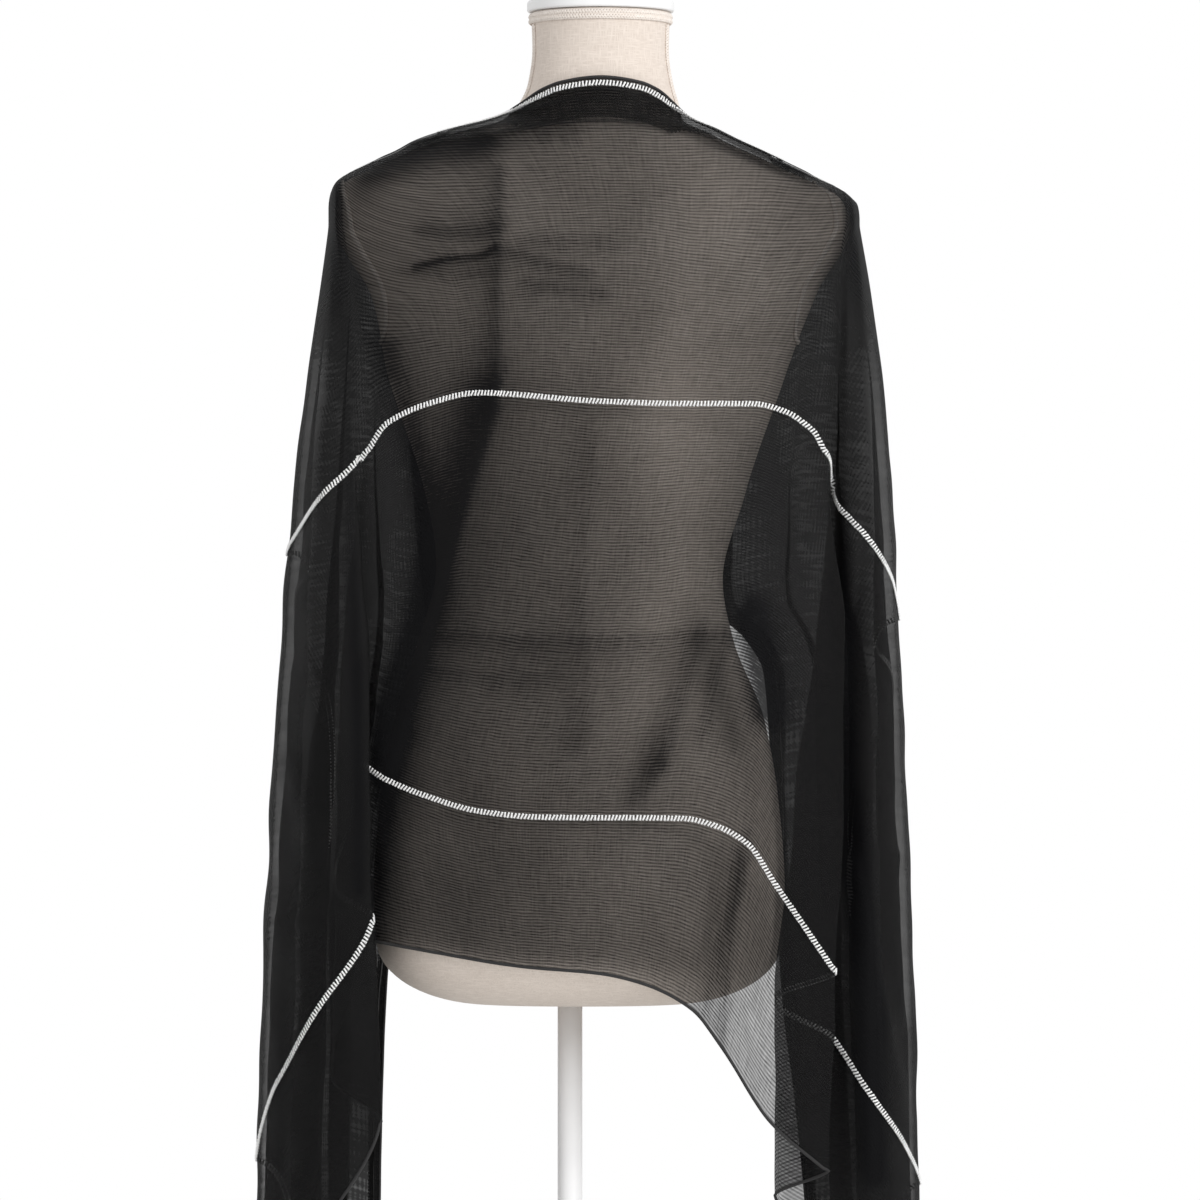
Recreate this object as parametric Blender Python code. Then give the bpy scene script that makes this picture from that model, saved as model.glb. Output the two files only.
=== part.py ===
"""A sheer crepe shawl draped over the shoulders of a limbless dress form on its stand.

Metres, +Z up. The origin is on the floor, in the middle of the stand's base, on the pole's axis.
The form faces +Y, so its back, where the shawl hangs flat, faces -Y. +X is to the right of
someone who looks at the back.

The shawl is one oblong of cloth. Its length runs across the back and over both shoulders, and
its width hangs down. v is the distance across the cloth from the edge at the neck, and s is the
distance along it from the middle of the back. From each edge of the flat back the cloth turns
into a deep fold, wraps round the outside of the shoulder as a fan of hanging folds, and ends in
the strip that falls over the front of the shoulder.
"""

import math

import bmesh
import bpy
import numpy as np

# The cut of the shawl
CLOTH_LENGTH = 2.20
CLOTH_WIDTH = 0.756
WALL = 0.0012
SEAM_GAP = 0.0004
RIDGE_GAP = 0.001
TRIM_WIDTH = 0.0065
TRIM_THICKNESS = 0.0009
TRIM_LIFT = 0.0004
TRIM_SNAP = 0.0003
NECK_TRIM_AT = 0.009
UPPER_TRIM_AT = 0.278
LOWER_TRIM_AT = 0.626

# The cloth that has run over each shoulder before its point, across the cloth
LEFT_POINT_AT = 0.140
RIGHT_POINT_AT = 0.091

# The stand
FORM_BOTTOM = 0.700
POLE_RADIUS = 0.0105
BASE_RADIUS = 0.190
BASE_HEIGHT = 0.026
CAP_HEIGHT = 0.0105
NECK_TOP = 1.5415
BRAID_HEIGHT = 0.009
BRAID_THICKNESS = 0.0016
PIECE_GAP = 0.0003
# The most that the wall is drawn out at a sharp corner, as a share of its thickness
MOST_MITRE = 1.4

# How finely the solids are cut
FORM_SIDES = 32
BACK_COLUMNS = 28
ROWS = 22
CLOTH_TO_FORM = 0.0022
CLOTH_OVER_FORM = 0.0036
# How softly the cloth turns from its own line to the form's: a length, and a share of its size
SOFT_LENGTH = 0.004
SOFT_SHARE = 0.008

# The form's level sections: height, middle across, half width, middle of the depth, half depth,
# roundness (2 is an ellipse, more is squarer). Millimetres.
FORM_SECTIONS = [
    (1541, 26, 59, 0, 59, 2.0),
    (1510, 26, 58, 0, 58, 2.0),
    (1480, 26, 62, 0, 60, 2.0),
    (1466, 25, 67, 0, 61, 2.0),
    (1456, 22, 72, -1, 61, 2.0),
    (1447, 19, 79, -1, 61, 2.0),
    (1436, 11, 111, -2, 62, 2.0),
    (1426, 6, 136, -3, 63, 2.0),
    (1416, 8, 157, -4, 65, 2.05),
    (1406, 6, 180, -5, 67, 2.1),
    (1396, 7, 200, -6, 70, 2.2),
    (1384, 15, 214, -6, 74, 2.3),
    (1357, 20, 219, -6, 83, 2.4),
    (1338, 20, 211, -7, 89, 2.4),
    (1306, 20, 191, -8, 95, 2.3),
    (1230, 14, 168, 4, 106, 2.2),
    (1133, 13, 136, 1, 93, 2.2),
    (1064, 8, 122, 0, 83, 2.2),
    (1008, 5, 134, -1, 91, 2.2),
    (941, 8, 157, -4, 102, 2.2),
    (872, 8, 169, -7, 108, 2.2),
    (804, 8, 174, -9, 110, 2.2),
    (754, 8, 172, -9, 109, 2.2),
]
# The share of the lowest section that stays flat underneath, across and in depth
FORM_BOTTOM_FLAT = (0.45, 0.35)
FORM_RING_STEP = 0.034

# The shawl's top line, seen from behind: across, height. It is the neck edge between the two
# places where that edge crosses the shoulders, and the fold over the shoulder beyond them.
TOP_LINE = [
    (-203, 1386),
    (-195, 1400),
    (-176, 1411),
    (-149, 1422),
    (-131, 1432),
    (-101, 1442),
    (-60, 1453),
    (-42, 1462),
    (-25, 1472),
    (-8, 1478),
    (26, 1482),
    (60, 1478),
    (75, 1472),
    (88, 1462),
    (100, 1452),
    (122, 1442),
    (142, 1432),
    (165, 1422),
    (186, 1412),
    (207, 1402),
    (232, 1390),
    (243, 1380),
]
# How far the top line lies behind the shoulders' ridge, by distance from the neck's middle
NECK_MIDDLE = 0.026
TOP_LINE_BACK = [
    (0, -65), (20, -62), (34, -57), (46, -49), (57, -37), (68, -20), (82, -8), (100, -2),
]
# The back leans in towards the neck over this height, within the neck's half width, and turns
# over the shoulder instead from a little further out
NECK_SLOPE = 0.13
NECK_HALF = 0.045
NECK_TO_SHOULDER = 0.05
# Where the neck edge crosses the ridge of each shoulder
LEFT_CROSSING = -0.102
RIGHT_CROSSING = 0.170

# What the back shows between the two deep folds: across, height
UPPER_TRIM_LINE = [
    (-168, 1176),
    (-157, 1187),
    (-119, 1206),
    (-76, 1215),
    (26, 1208),
    (94, 1206),
    (153, 1206),
    (182, 1199),
    (196, 1190),
    (206, 1181),
    (212, 1168),
]
LOWER_TRIM_LINE = [
    (-172, 905),
    (-149, 891),
    (-119, 879),
    (-76, 867),
    (-25, 862),
    (94, 861),
    (123, 854),
    (149, 838),
    (170, 807),
    (196, 769),
    (221, 732),
]
HEM_LINE = [
    (-174, 759),
    (-102, 747),
    (-42, 738),
    (26, 732),
    (60, 724),
    (102, 702),
    (128, 668),
    (166, 609),
    (214, 566),
]
# The depth of the flat back's middle, and how squarely it turns towards its edges
BACK_DEPTH = [
    (1480, -66), (1440, -72), (1400, -84), (1350, -101), (1300, -108), (1220, -111), (1000, -113),
    (880, -121), (560, -124),
]
BACK_SQUARENESS = 2.4

# The fold lines of each side, in order round it: height, across, depth, and the fan, the share
# of a point's distance below the shoulder point that lies across the cloth. The panel's edge
# takes its fan from the back. Millimetres.
LEFT_FOLDS = {
    "panel_edge": [
        (1360, -191, -40, 1), (1200, -168, -74, 1), (1080, -170, -77, 1), (1000, -172, -77, 1),
        (850, -173, -77, 1), (600, -174, -76, 1), (250, -176, -74, 1),
    ],
    "valley": [
        (1360, -193, -39, 0.64), (1200, -173, -76, 0.64), (1080, -177, -60, 0.80),
        (1000, -182, -30, 0.87), (850, -186, 12, 0.89), (600, -190, 18, 0.87),
        (250, -192, 14, 0.84),
    ],
    "inner_turn": [
        (1360, -195, -37, 0.62), (1200, -178, -77, 0.62), (1080, -184, -75, 0.70),
        (1000, -191, -79, 0.77), (850, -197, -80, 0.81), (600, -199, -79, 0.81),
        (250, -200, -78, 0.80),
    ],
    "fold_edge": [
        (1360, -198, -34, 0.60), (1200, -184, -77, 0.60), (1080, -177, -87, 0.68),
        (1000, -169, -92, 0.75), (850, -168, -97, 0.78), (650, -160, -96, 0.78),
        (530, -158, -95, 0.77), (250, -166, -92, 0.75),
    ],
    "outer": [
        (1360, -202, -20, 0.55), (1200, -204, -68, 0.56), (1080, -205, -81, 0.60),
        (1000, -209, -87, 0.64), (850, -214, -89, 0.69), (600, -217, -86, 0.69),
        (250, -222, -80, 0.68),
    ],
    "outline": [
        (1360, -205, -4, 0.48), (1200, -226, -8, 0.48), (1080, -238, -8, 0.50),
        (1000, -244, -8, 0.53), (850, -254, -8, 0.57), (600, -264, -8, 0.59),
        (250, -271, -8, 0.60),
    ],
}
RIGHT_FOLDS = {
    "panel_edge": [
        (1360, 232, -42, 1), (1300, 222, -65, 1), (1200, 212, -83, 1), (1110, 215, -89, 1),
        (1020, 229, -91, 1), (850, 227, -94, 1), (650, 218, -94, 1), (250, 212, -92, 1),
    ],
    "valley": [
        (1360, 236, -36, 0.78), (1300, 228, -55, 0.76), (1200, 223, -62, 0.75),
        (1110, 218, -54, 0.76), (1020, 206, -59, 0.78), (850, 186, -58, 0.785),
        (650, 168, -51, 0.785), (250, 170, -48, 0.76),
    ],
    "inner_turn": [
        (1360, 240, -31, 0.68), (1300, 235, -54, 0.68), (1200, 234, -69, 0.68),
        (1110, 233, -72, 0.69), (1020, 232, -66, 0.72), (850, 226, -63, 0.74),
        (650, 220, -60, 0.755), (250, 222, -56, 0.74),
    ],
    "outer": [
        (1360, 243, -20, 0.62), (1300, 247, -44, 0.62), (1200, 252, -59, 0.62),
        (1110, 254, -67, 0.62), (1020, 257, -68, 0.64), (850, 258, -69, 0.68),
        (650, 257, -69, 0.70), (250, 262, -64, 0.70),
    ],
    "outline": [
        (1360, 246, -4, 0.50), (1300, 256, -8, 0.51), (1200, 268, -8, 0.51), (1020, 278, -8, 0.53),
        (850, 286, -8, 0.58), (650, 293, -8, 0.63), (250, 299, -8, 0.67),
    ],
}
# The inner edge of each front, over the chest and down: height, across, depth
LEFT_FRONT_EDGE = [
    (1440, -104, 0), (1426, -105, 37), (1406, -106, 53), (1380, -106, 65), (1300, -109, 88),
    (1220, -111, 101), (1120, -106, 100), (1040, -103, 95), (960, -116, 92), (850, -142, 88),
    (700, -160, 86), (530, -165, 84), (250, -166, 80),
]
RIGHT_FRONT_EDGE = [
    (1420, 168, 0), (1406, 166, 30), (1396, 164, 44), (1380, 160, 58), (1300, 142, 84),
    (1220, 124, 100), (1140, 113, 101), (1070, 112, 96), (1040, 118, 93), (1012, 150, 90),
    (980, 168, 88), (850, 176, 86), (700, 184, 84), (600, 196, 82), (500, 204, 80),
    (250, 206, 76),
]
# Pleats of each front: height, depth of a pleat
FRONT_PLEATS = 4
PLEAT_DEPTH = [
    (1400, 0), (1300, 6), (1200, 13), (1100, 22), (1000, 31), (850, 40), (600, 46), (250, 48),
]
PLEAT_FLATNESS = 1.5
# How far a pleat's line wanders, and its waves round the front and down each metre
PLEAT_WANDER = 0.018
WANDER_ROUND = 1.5
WANDER_DOWN = 2.2
# How unequal the pleats are, how soon that changes round the front, and where it starts
PLEAT_UNEVEN = 0.22
UNEVEN_ROUND = 9.0
UNEVEN_START = 3.0
# The share of the front over which the pleats grow from nothing at its two edges
PLEATS_GROW = (0.167, 0.125)
# The share of the way along a pleat of the four columns that shape it
PLEAT_CORNERS = (0.16, 0.34, 0.66, 0.84)
# The share of a knot's step between it and the columns beside it
BESIDE_KNOT = 0.2
# The same for the column that turns the back's edge into its fold
EDGE_TURN = 0.14
# How much the pleats lean towards one common direction, where 0 is square to the cloth
PLEAT_LEAN = 0.6
# The steepest that a curve between two fold lines starts, as a share of their distance, and how
# much rounder it is at a fold's tip
MOST_SLOPE = 1.2
TIP_ROUNDING = 1.0
# What the curve through the fold lines meets at its two ends: the back this far in from its
# edge, across and behind, and this share of the front
BACK_STEP = (0.030, 0.003)
FRONT_START = 0.10
# How far the corners of the front's plan are drawn out
FRONT_PULL = 0.62
# The part of the front in which the cloth fans out, and the part of the shoulder that it takes
FAN_SHARE = 0.62
FAN_INWARD = 0.25
# The cloth lies this much longer than straight across the shoulders
OVER_SHOULDER = 1.03
# The column place of each fold line, and of the outline after the last
KNOT_STEP = 0.10
OUTLINE_EXTRA = 0.04
# The lowest that a column is followed
COLUMN_LOWEST = 0.12
# The column places between which a trim shows on each end, before it goes into a fold
TRIM_STRETCH = {"left": (0.33, 0.57), "right": (0.21, 0.50)}
ROUNDING = {"back": 0.052, "outline": 0.016, "front": 0.055}

SILVER = (0.80, 0.80, 0.79)
LINEN = (0.69, 0.60, 0.53)
CREPE = (0.016, 0.016, 0.017)
WHITE = (0.86, 0.86, 0.86)
CAP_WHITE = (0.90, 0.90, 0.90)


def curve(table, column=1):
    """A smooth curve through a table's rows, over its first column, with no overshoot. The table
    is in millimetres, and the curve takes and gives metres."""
    rows = sorted(table)
    x = np.array([row[0] for row in rows]) / 1000
    y = np.array([row[column] for row in rows]) / 1000
    step = np.diff(x)
    slope = np.diff(y) / step
    tangent = np.zeros(len(x))
    same_way = slope[:-1] * slope[1:] > 0
    before, after = 2 * step[1:] + step[:-1], step[1:] + 2 * step[:-1]
    safe = np.where(same_way, slope[:-1] * slope[1:], 1)
    mean = (before + after) * safe / np.where(same_way, before * slope[1:] + after * slope[:-1], 1)
    tangent[1:-1] = np.where(same_way, mean, 0)
    tangent[0], tangent[-1] = slope[0], slope[-1]

    def at(value):
        value = np.clip(np.asarray(value, float), x[0], x[-1])
        i = np.clip(np.searchsorted(x, value, side="right") - 1, 0, len(step) - 1)
        h = step[i]
        w = (value - x[i]) / h
        return (
            y[i] * (1 + 2 * w) * (1 - w) ** 2
            + h * tangent[i] * w * (1 - w) ** 2
            + y[i + 1] * w * w * (3 - 2 * w)
            + h * tangent[i + 1] * w * w * (w - 1)
        )

    return at


def share_curve(table, column):
    """The same for a column that is a plain number and not a length."""
    inner = curve([(row[0], row[column] * 1000) for row in table])
    return inner


form_middle = curve(FORM_SECTIONS, 1)
form_half_width = curve(FORM_SECTIONS, 2)
form_middle_depth = curve(FORM_SECTIONS, 3)
form_half_depth = curve(FORM_SECTIONS, 4)
form_roundness = share_curve(FORM_SECTIONS, 5)
top_height = curve(TOP_LINE)
top_back = curve(TOP_LINE_BACK)
upper_trim_height = curve(UPPER_TRIM_LINE)
lower_trim_height = curve(LOWER_TRIM_LINE)
hem_height = curve(HEM_LINE)
back_depth = curve(BACK_DEPTH)
pleat_depth = curve(PLEAT_DEPTH)


def top_depth(x):
    return top_back(np.abs(x - NECK_MIDDLE))


def form_reach(x, z):
    """How far the form reaches from the middle of its depth, at a place across and a height."""
    share = np.abs(x - form_middle(z)) / form_half_width(z)
    power = form_roundness(z)
    left = np.clip(1 - share**power, 0, 1)
    return form_half_depth(z) * left ** (1 / power)


def behind_form(x, y, z, clearance):
    """y, moved back to clear the form's back. It turns smoothly from the cloth's own line to the
    form's."""
    z = z - CLOTH_OVER_FORM
    surface = form_reach(x, z) + clearance - form_middle_depth(z)
    inside = np.abs(x - form_middle(z)) < form_half_width(z) + clearance
    larger = SOFT_LENGTH * np.logaddexp(-y / SOFT_LENGTH, surface / SOFT_LENGTH)
    return np.where(inside, -larger, y)


def outside_form(x, y, z, clearance):
    """A place in plan, moved straight out from the form's middle until it clears the form."""
    z = z - CLOTH_OVER_FORM
    across, deep = x - form_middle(z), y - form_middle_depth(z)
    power = form_roundness(z)
    level = (
        np.abs(across / (form_half_width(z) + clearance)) ** power
        + np.abs(deep / (form_half_depth(z) + clearance)) ** power
    ) ** (1 / power)
    level = np.maximum(level, SOFT_SHARE)
    out = (1 + SOFT_SHARE * np.logaddexp(0, (level - 1) / SOFT_SHARE)) / level
    return form_middle(z) + across * out, form_middle_depth(z) + deep * out


def pleat_share(place):
    """0 on a pleat's outer tip, at a whole number, and 1 on its inner one, half way between."""
    wave = np.cos(2 * math.pi * place)
    return 0.5 - 0.5 * np.tanh(PLEAT_FLATNESS * wave) / math.tanh(PLEAT_FLATNESS)


def slope_at(three, most):
    """The way in which a curve passes the middle one of three points. It is longer where the
    curve turns back on itself, so that a fold has a round tip."""
    before, here, after = three
    first, second = here - before, after - here
    lengths = np.maximum(np.hypot(*first) * np.hypot(*second), 1e-9)
    turn = (1 - np.sum(first * second, axis=0) / lengths) / 2
    way = (after - before) / 2 * (1 + TIP_ROUNDING * turn)
    return way * np.minimum(1, most / np.maximum(np.hypot(*way), 1e-6))


def rounding(depth, radius):
    """0 at the fold over the shoulder, 1 from radius below it, along a quarter circle."""
    w = np.clip(depth / radius, 0, 1)
    return np.sqrt(1 - (1 - w) ** 2)


class Side:
    """One side of the shawl, from the back's edge round the shoulder to the front edge."""

    def __init__(self, folds, front_edge, point_at, crossing, turn):
        self.turn = turn
        self.point_at = point_at
        self.crossing = crossing
        self.x = [curve(rows, 1) for rows in folds.values()]
        self.y = [curve(rows, 2) for rows in folds.values()]
        self.fan = [share_curve(rows, 3) for rows in folds.values()]
        self.front_x = curve(front_edge, 1)
        self.front_y = curve(front_edge, 2)
        count = len(folds)
        self.outline_at = KNOT_STEP * (count - 1) + OUTLINE_EXTRA
        self.knots = np.linspace(0, self.outline_at, count)
        self.point_x = float(self.x[0](1.39)) + turn * 0.010
        self.edge_top_x = float(self.x[0](1.39))

    def top_x(self, a):
        """Where a column starts on the fold over the shoulder."""
        fan_end = self.outline_at + (1 - self.outline_at) * FAN_SHARE
        in_fan = self.edge_top_x + (self.point_x - self.edge_top_x) * np.clip(a / self.outline_at, 0, 1)
        w = np.clip((a - self.outline_at) / (fan_end - self.outline_at), 0, 1)
        inward = FAN_INWARD * w + (1 - FAN_INWARD) * np.clip((a - fan_end) / (1 - fan_end), 0, 1)
        return in_fan + (self.crossing - self.point_x) * inward * (a > self.outline_at)

    def start_at(self, a):
        """v where a column starts."""
        share = (self.top_x(a) - self.crossing) / (self.edge_top_x - self.crossing)
        return self.point_at * np.clip(share, 0, 1)

    def front_plan(self, u, z):
        """The front, from the outline (u 0) to its inner edge (u 1), in plan. A column keeps its
        place on its pleat, and the pleats wander a little on their way down."""
        pleat = pleat_share(FRONT_PLEATS * u)
        uneven = 1 + PLEAT_UNEVEN * np.sin(UNEVEN_ROUND * u + UNEVEN_START * self.turn)
        ends = np.clip(u / PLEATS_GROW[0], 0, 1) * np.clip((1 - u) / PLEATS_GROW[1], 0, 1)
        depth = pleat_depth(z) * pleat * uneven * ends
        wave = np.sin(2 * math.pi * (WANDER_ROUND * u + WANDER_DOWN * z))
        u = u + PLEAT_WANDER * wave * 4 * u * (1 - u)
        x0, y0 = self.x[-1](z), self.y[-1](z)
        x3, y3 = self.front_x(z), self.front_y(z)
        x1, y1 = x0 - self.turn * 0.001, y0 + FRONT_PULL * (y3 - y0)
        x2, y2 = x3 + FRONT_PULL * (x0 - x3), y3 + 0.010
        p = [(1 - u) ** 3, 3 * u * (1 - u) ** 2, 3 * u * u * (1 - u), u**3]
        x = p[0] * x0 + p[1] * x1 + p[2] * x2 + p[3] * x3
        y = p[0] * y0 + p[1] * y1 + p[2] * y2 + p[3] * y3
        q = [3 * (1 - u) ** 2, 6 * u * (1 - u), 3 * u * u]
        dx = q[0] * (x1 - x0) + q[1] * (x2 - x1) + q[2] * (x3 - x2)
        dy = q[0] * (y1 - y0) + q[1] * (y2 - y1) + q[2] * (y3 - y2)
        length = np.maximum(np.hypot(dx, dy), 1e-6)
        inward_x = -self.turn * (PLEAT_LEAN + (1 - PLEAT_LEAN) * np.abs(dy) / length)
        inward_y = -(PLEAT_LEAN + (1 - PLEAT_LEAN) * np.abs(dx) / length)
        size = np.hypot(inward_x, inward_y)
        return x + depth * inward_x / size, y + depth * inward_y / size

    def plan(self, a, z):
        """Across and depth of the cloth at column a and height z."""
        a, z = np.broadcast_arrays(np.asarray(a, float), np.asarray(z, float))
        points = [(fx(z), fy(z)) for fx, fy in zip(self.x, self.y)]
        step = self.knots[1] - self.knots[0]
        after = self.front_plan(np.full_like(z, FRONT_START), z)
        before = (points[0][0] - self.turn * BACK_STEP[0], points[0][1] - BACK_STEP[1])
        chain = np.array([before, *points, after])
        i = np.clip((a / step).astype(int), 0, len(points) - 2)
        w = np.clip(a / step - i, 0, 1)
        take = [np.take_along_axis(chain, (i + k)[None, None], 0)[0] for k in range(4)]
        most = MOST_SLOPE * np.hypot(*(take[2] - take[1]))
        t1, t2 = slope_at(take[:3], most), slope_at(take[1:], most)
        back = (
            take[1] * (1 + 2 * w) * (1 - w) ** 2
            + t1 * w * (1 - w) ** 2
            + take[2] * w * w * (3 - 2 * w)
            + t2 * w * w * (w - 1)
        )
        u = np.clip((a - self.outline_at) / (1 - self.outline_at), 0, 1)
        front = self.front_plan(u, z)
        in_front = a > self.outline_at
        return np.where(in_front, front[0], back[0]), np.where(in_front, front[1], back[1])

    def across_share(self, a, z):
        """The share of the depth that lies across the cloth, with the back's own at its edge."""
        a, z = np.broadcast_arrays(np.asarray(a, float), np.asarray(z, float))
        depth = np.maximum(top_height(self.edge_top_x) - z, 1e-4)
        edge = (edge_width(self, z) - self.point_at) / depth
        shares = np.array([edge, *[fan(z) for fan in self.fan[1:]]])
        step = self.knots[1] - self.knots[0]
        i = np.clip((a / step).astype(int), 0, len(self.fan) - 2)
        w = np.clip(a / step - i, 0, 1)
        low = np.take_along_axis(shares, i[None], 0)[0]
        high = np.take_along_axis(shares, (i + 1)[None], 0)[0]
        back = low + (high - low) * w
        fan_end = self.outline_at + (1 - self.outline_at) * FAN_SHARE
        w = np.clip((a - self.outline_at) / (fan_end - self.outline_at), 0, 1)
        front = shares[-1] * np.cos(w * math.pi / 2)
        return np.where(a > self.outline_at, front, back)

    def surface(self, a, z):
        """The cloth's middle at column a and height z."""
        a, z = np.broadcast_arrays(np.asarray(a, float), np.asarray(z, float))
        x_top = self.top_x(a)
        z_top = top_height(x_top)
        x, y = self.plan(a, z)
        x_start, y_start = self.plan(a, z_top)
        u = np.clip((a - self.outline_at) / (1 - self.outline_at), 0, 1)
        w = np.clip(a / self.outline_at, 0, 1)
        radius = np.where(
            a > self.outline_at,
            ROUNDING["outline"] + (ROUNDING["front"] - ROUNDING["outline"]) * np.clip(3 * u, 0, 1),
            ROUNDING["back"] + (ROUNDING["outline"] - ROUNDING["back"]) * w,
        )
        left = 1 - rounding(z_top - z, radius)
        x = x + (x_top - x_start) * left
        y = y + (top_depth(x_top) - y_start) * left
        x, y = outside_form(x, y, z, CLOTH_TO_FORM)
        return np.stack([x, y, z], axis=-1)

    def column(self, a, levels=260):
        """Heights down a column, with v and s at each, from the shoulder to the cloth's end."""
        z_top = float(top_height(self.top_x(np.array(a))))
        depth = np.linspace(0, z_top - COLUMN_LOWEST, levels)
        share = self.across_share(np.full(levels, a), z_top - depth)
        v = float(self.start_at(np.array(a))) + depth * share
        across = abs(float(self.top_x(np.array(a))) - NECK_MIDDLE)
        s = OVER_SHOULDER * across + depth * np.sqrt(np.clip(1 - share**2, 0, 1))
        return z_top - depth, v, s

    def bottom(self, a):
        """The height at which a column leaves the cloth, through its hem or its end."""
        z, v, s = self.column(a)
        over = np.maximum(v - CLOTH_WIDTH, s - CLOTH_LENGTH / 2)
        i = int(np.argmax(over > 0)) or len(z) - 1
        w = over[i - 1] / (over[i - 1] - over[i]) if over[i] > 0 else 1
        return z[i - 1] + (z[i] - z[i - 1]) * w

    def corner(self):
        """The column that ends at the cloth's corner, where its hem meets its end."""
        low, high = 0.0, 1.0
        for _ in range(40):
            middle = (low + high) / 2
            z, v, s = self.column(middle)
            hem_first = np.argmax(v > CLOTH_WIDTH) < np.argmax(s > CLOTH_LENGTH / 2)
            at_hem = hem_first and v.max() > CLOTH_WIDTH
            low, high = (middle, high) if at_hem else (low, middle)
        return low

    def heights(self, a, shares):
        """Heights down a column, spaced as those of the back's edge are."""
        z_top = float(top_height(self.top_x(np.array(a))))
        return z_top - (z_top - self.bottom(a)) * shares


def panel_x(c, z):
    left, right = LEFT.x[0](z), RIGHT.x[0](z)
    return left + c * (right - left)


def line_on_back(c, height_of, start):
    """The height at which column c of the back meets a line across it."""
    z = np.full_like(c, start)
    for _ in range(12):
        z = height_of(panel_x(c, z))
    return z


def back_start(x):
    """v on the top line: 0 along the neck edge, more over the shoulders."""
    left = LEFT_POINT_AT * (LEFT_CROSSING - x) / (LEFT_CROSSING - LEFT.edge_top_x)
    right = RIGHT_POINT_AT * (x - RIGHT_CROSSING) / (RIGHT.edge_top_x - RIGHT_CROSSING)
    return np.clip(np.maximum(left, right), 0, 1)


def back_column(c):
    """The heights and the v of the lines that column c of the back crosses."""
    c = np.asarray(c, float)
    top = line_on_back(c, top_height, 1.39)
    upper = line_on_back(c, upper_trim_height, 1.2)
    lower = line_on_back(c, lower_trim_height, 0.86)
    hem = line_on_back(c, hem_height, 0.72)
    return [top, upper, lower, hem], back_start(panel_x(c, top))


def back_height(c, v):
    """The height of the back's cloth at column c and v, on a smooth curve through the lines."""
    heights, start = back_column(c)
    knots = [start, UPPER_TRIM_AT, LOWER_TRIM_AT, CLOTH_WIDTH]
    slopes = [(heights[i + 1] - heights[i]) / (knots[i + 1] - knots[i]) for i in range(3)]
    tangents = [
        slopes[0],
        2 * slopes[0] * slopes[1] / (slopes[0] + slopes[1]),
        2 * slopes[1] * slopes[2] / (slopes[1] + slopes[2]),
        slopes[2],
    ]
    v = np.maximum(v, start)
    out = np.zeros(np.broadcast(c, v).shape)
    for i in range(3):
        h = knots[i + 1] - knots[i]
        w = np.clip((v - knots[i]) / h, 0, 1)
        value = (
            heights[i] * (1 + 2 * w) * (1 - w) ** 2
            + h * tangents[i] * w * (1 - w) ** 2
            + heights[i + 1] * w * w * (3 - 2 * w)
            + h * tangents[i + 1] * w * w * (w - 1)
        )
        out = np.where(v >= knots[i], value, out)
    return out


def edge_width(side, z):
    """v down the back's edge, as the side meets it."""
    if side.turn not in EDGE_WIDTHS:
        c = np.full(200, 0.0 if side.turn < 0 else 1.0)
        v = np.linspace(side.point_at, CLOTH_WIDTH, 200)
        EDGE_WIDTHS[side.turn] = (back_height(c, v)[::-1], v[::-1])
    heights, v = EDGE_WIDTHS[side.turn]
    below = (heights[0] - z) * (v[0] - v[8]) / (heights[8] - heights[0])
    return np.interp(z, heights, v) + np.clip(below, 0, None)


def back_surface(c, v):
    """The middle of the back's cloth at column c, from 0 at the left fold to 1 at the right, and
    at v across the cloth."""
    c, v = np.broadcast_arrays(np.asarray(c, float), np.asarray(v, float))
    z = back_height(c, v)
    top = line_on_back(c, top_height, 1.39)
    x_top, x = panel_x(c, top), panel_x(c, z)

    def hanging(x, z):
        middle = 0.5 * (LEFT.x[0](z) + RIGHT.x[0](z))
        share = (x - middle) / (RIGHT.x[0](z) - middle)
        edge = np.where(share < 0, LEFT.y[0](z), RIGHT.y[0](z))
        return back_depth(z) + (edge - back_depth(z)) * np.abs(share) ** BACK_SQUARENESS

    from_neck = np.clip((np.abs(x_top - NECK_MIDDLE) - NECK_HALF) / NECK_TO_SHOULDER, 0, 1)
    depth = top - z
    near_neck = np.clip(depth / NECK_SLOPE, 0, 1)
    near_neck = near_neck * near_neck * (3 - 2 * near_neck)
    grown = near_neck + (rounding(depth, ROUNDING["back"]) - near_neck) * from_neck
    y = hanging(x, z) + (top_depth(x_top) - hanging(x_top, top)) * (1 - grown)
    return np.stack([x, behind_form(x, y, z, CLOTH_TO_FORM), z], axis=-1)


EDGE_WIDTHS = {}
LEFT = Side(LEFT_FOLDS, LEFT_FRONT_EDGE, LEFT_POINT_AT, LEFT_CROSSING, -1)
RIGHT = Side(RIGHT_FOLDS, RIGHT_FRONT_EDGE, RIGHT_POINT_AT, RIGHT_CROSSING, 1)


def down_shares(rows):
    """Shares of the way down at which the rows lie, closest over the shoulder."""
    t = np.linspace(0, 1, rows + 1)
    even_from = 0.5
    scale = 1 / (2 * even_from - even_from**2)
    return np.where(t < even_from, scale * t * t, 1 - 2 * scale * even_from * (1 - t))


def back_grid():
    """Points of the back and their v, rows down and columns across."""
    c = np.repeat(np.linspace(0, 1, BACK_COLUMNS + 1)[None, :], ROWS + 1, 0)
    start = back_column(c)[1]
    v = start + (CLOTH_WIDTH - start) * down_shares(ROWS)[:, None]
    return back_surface(c, v), v


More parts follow.
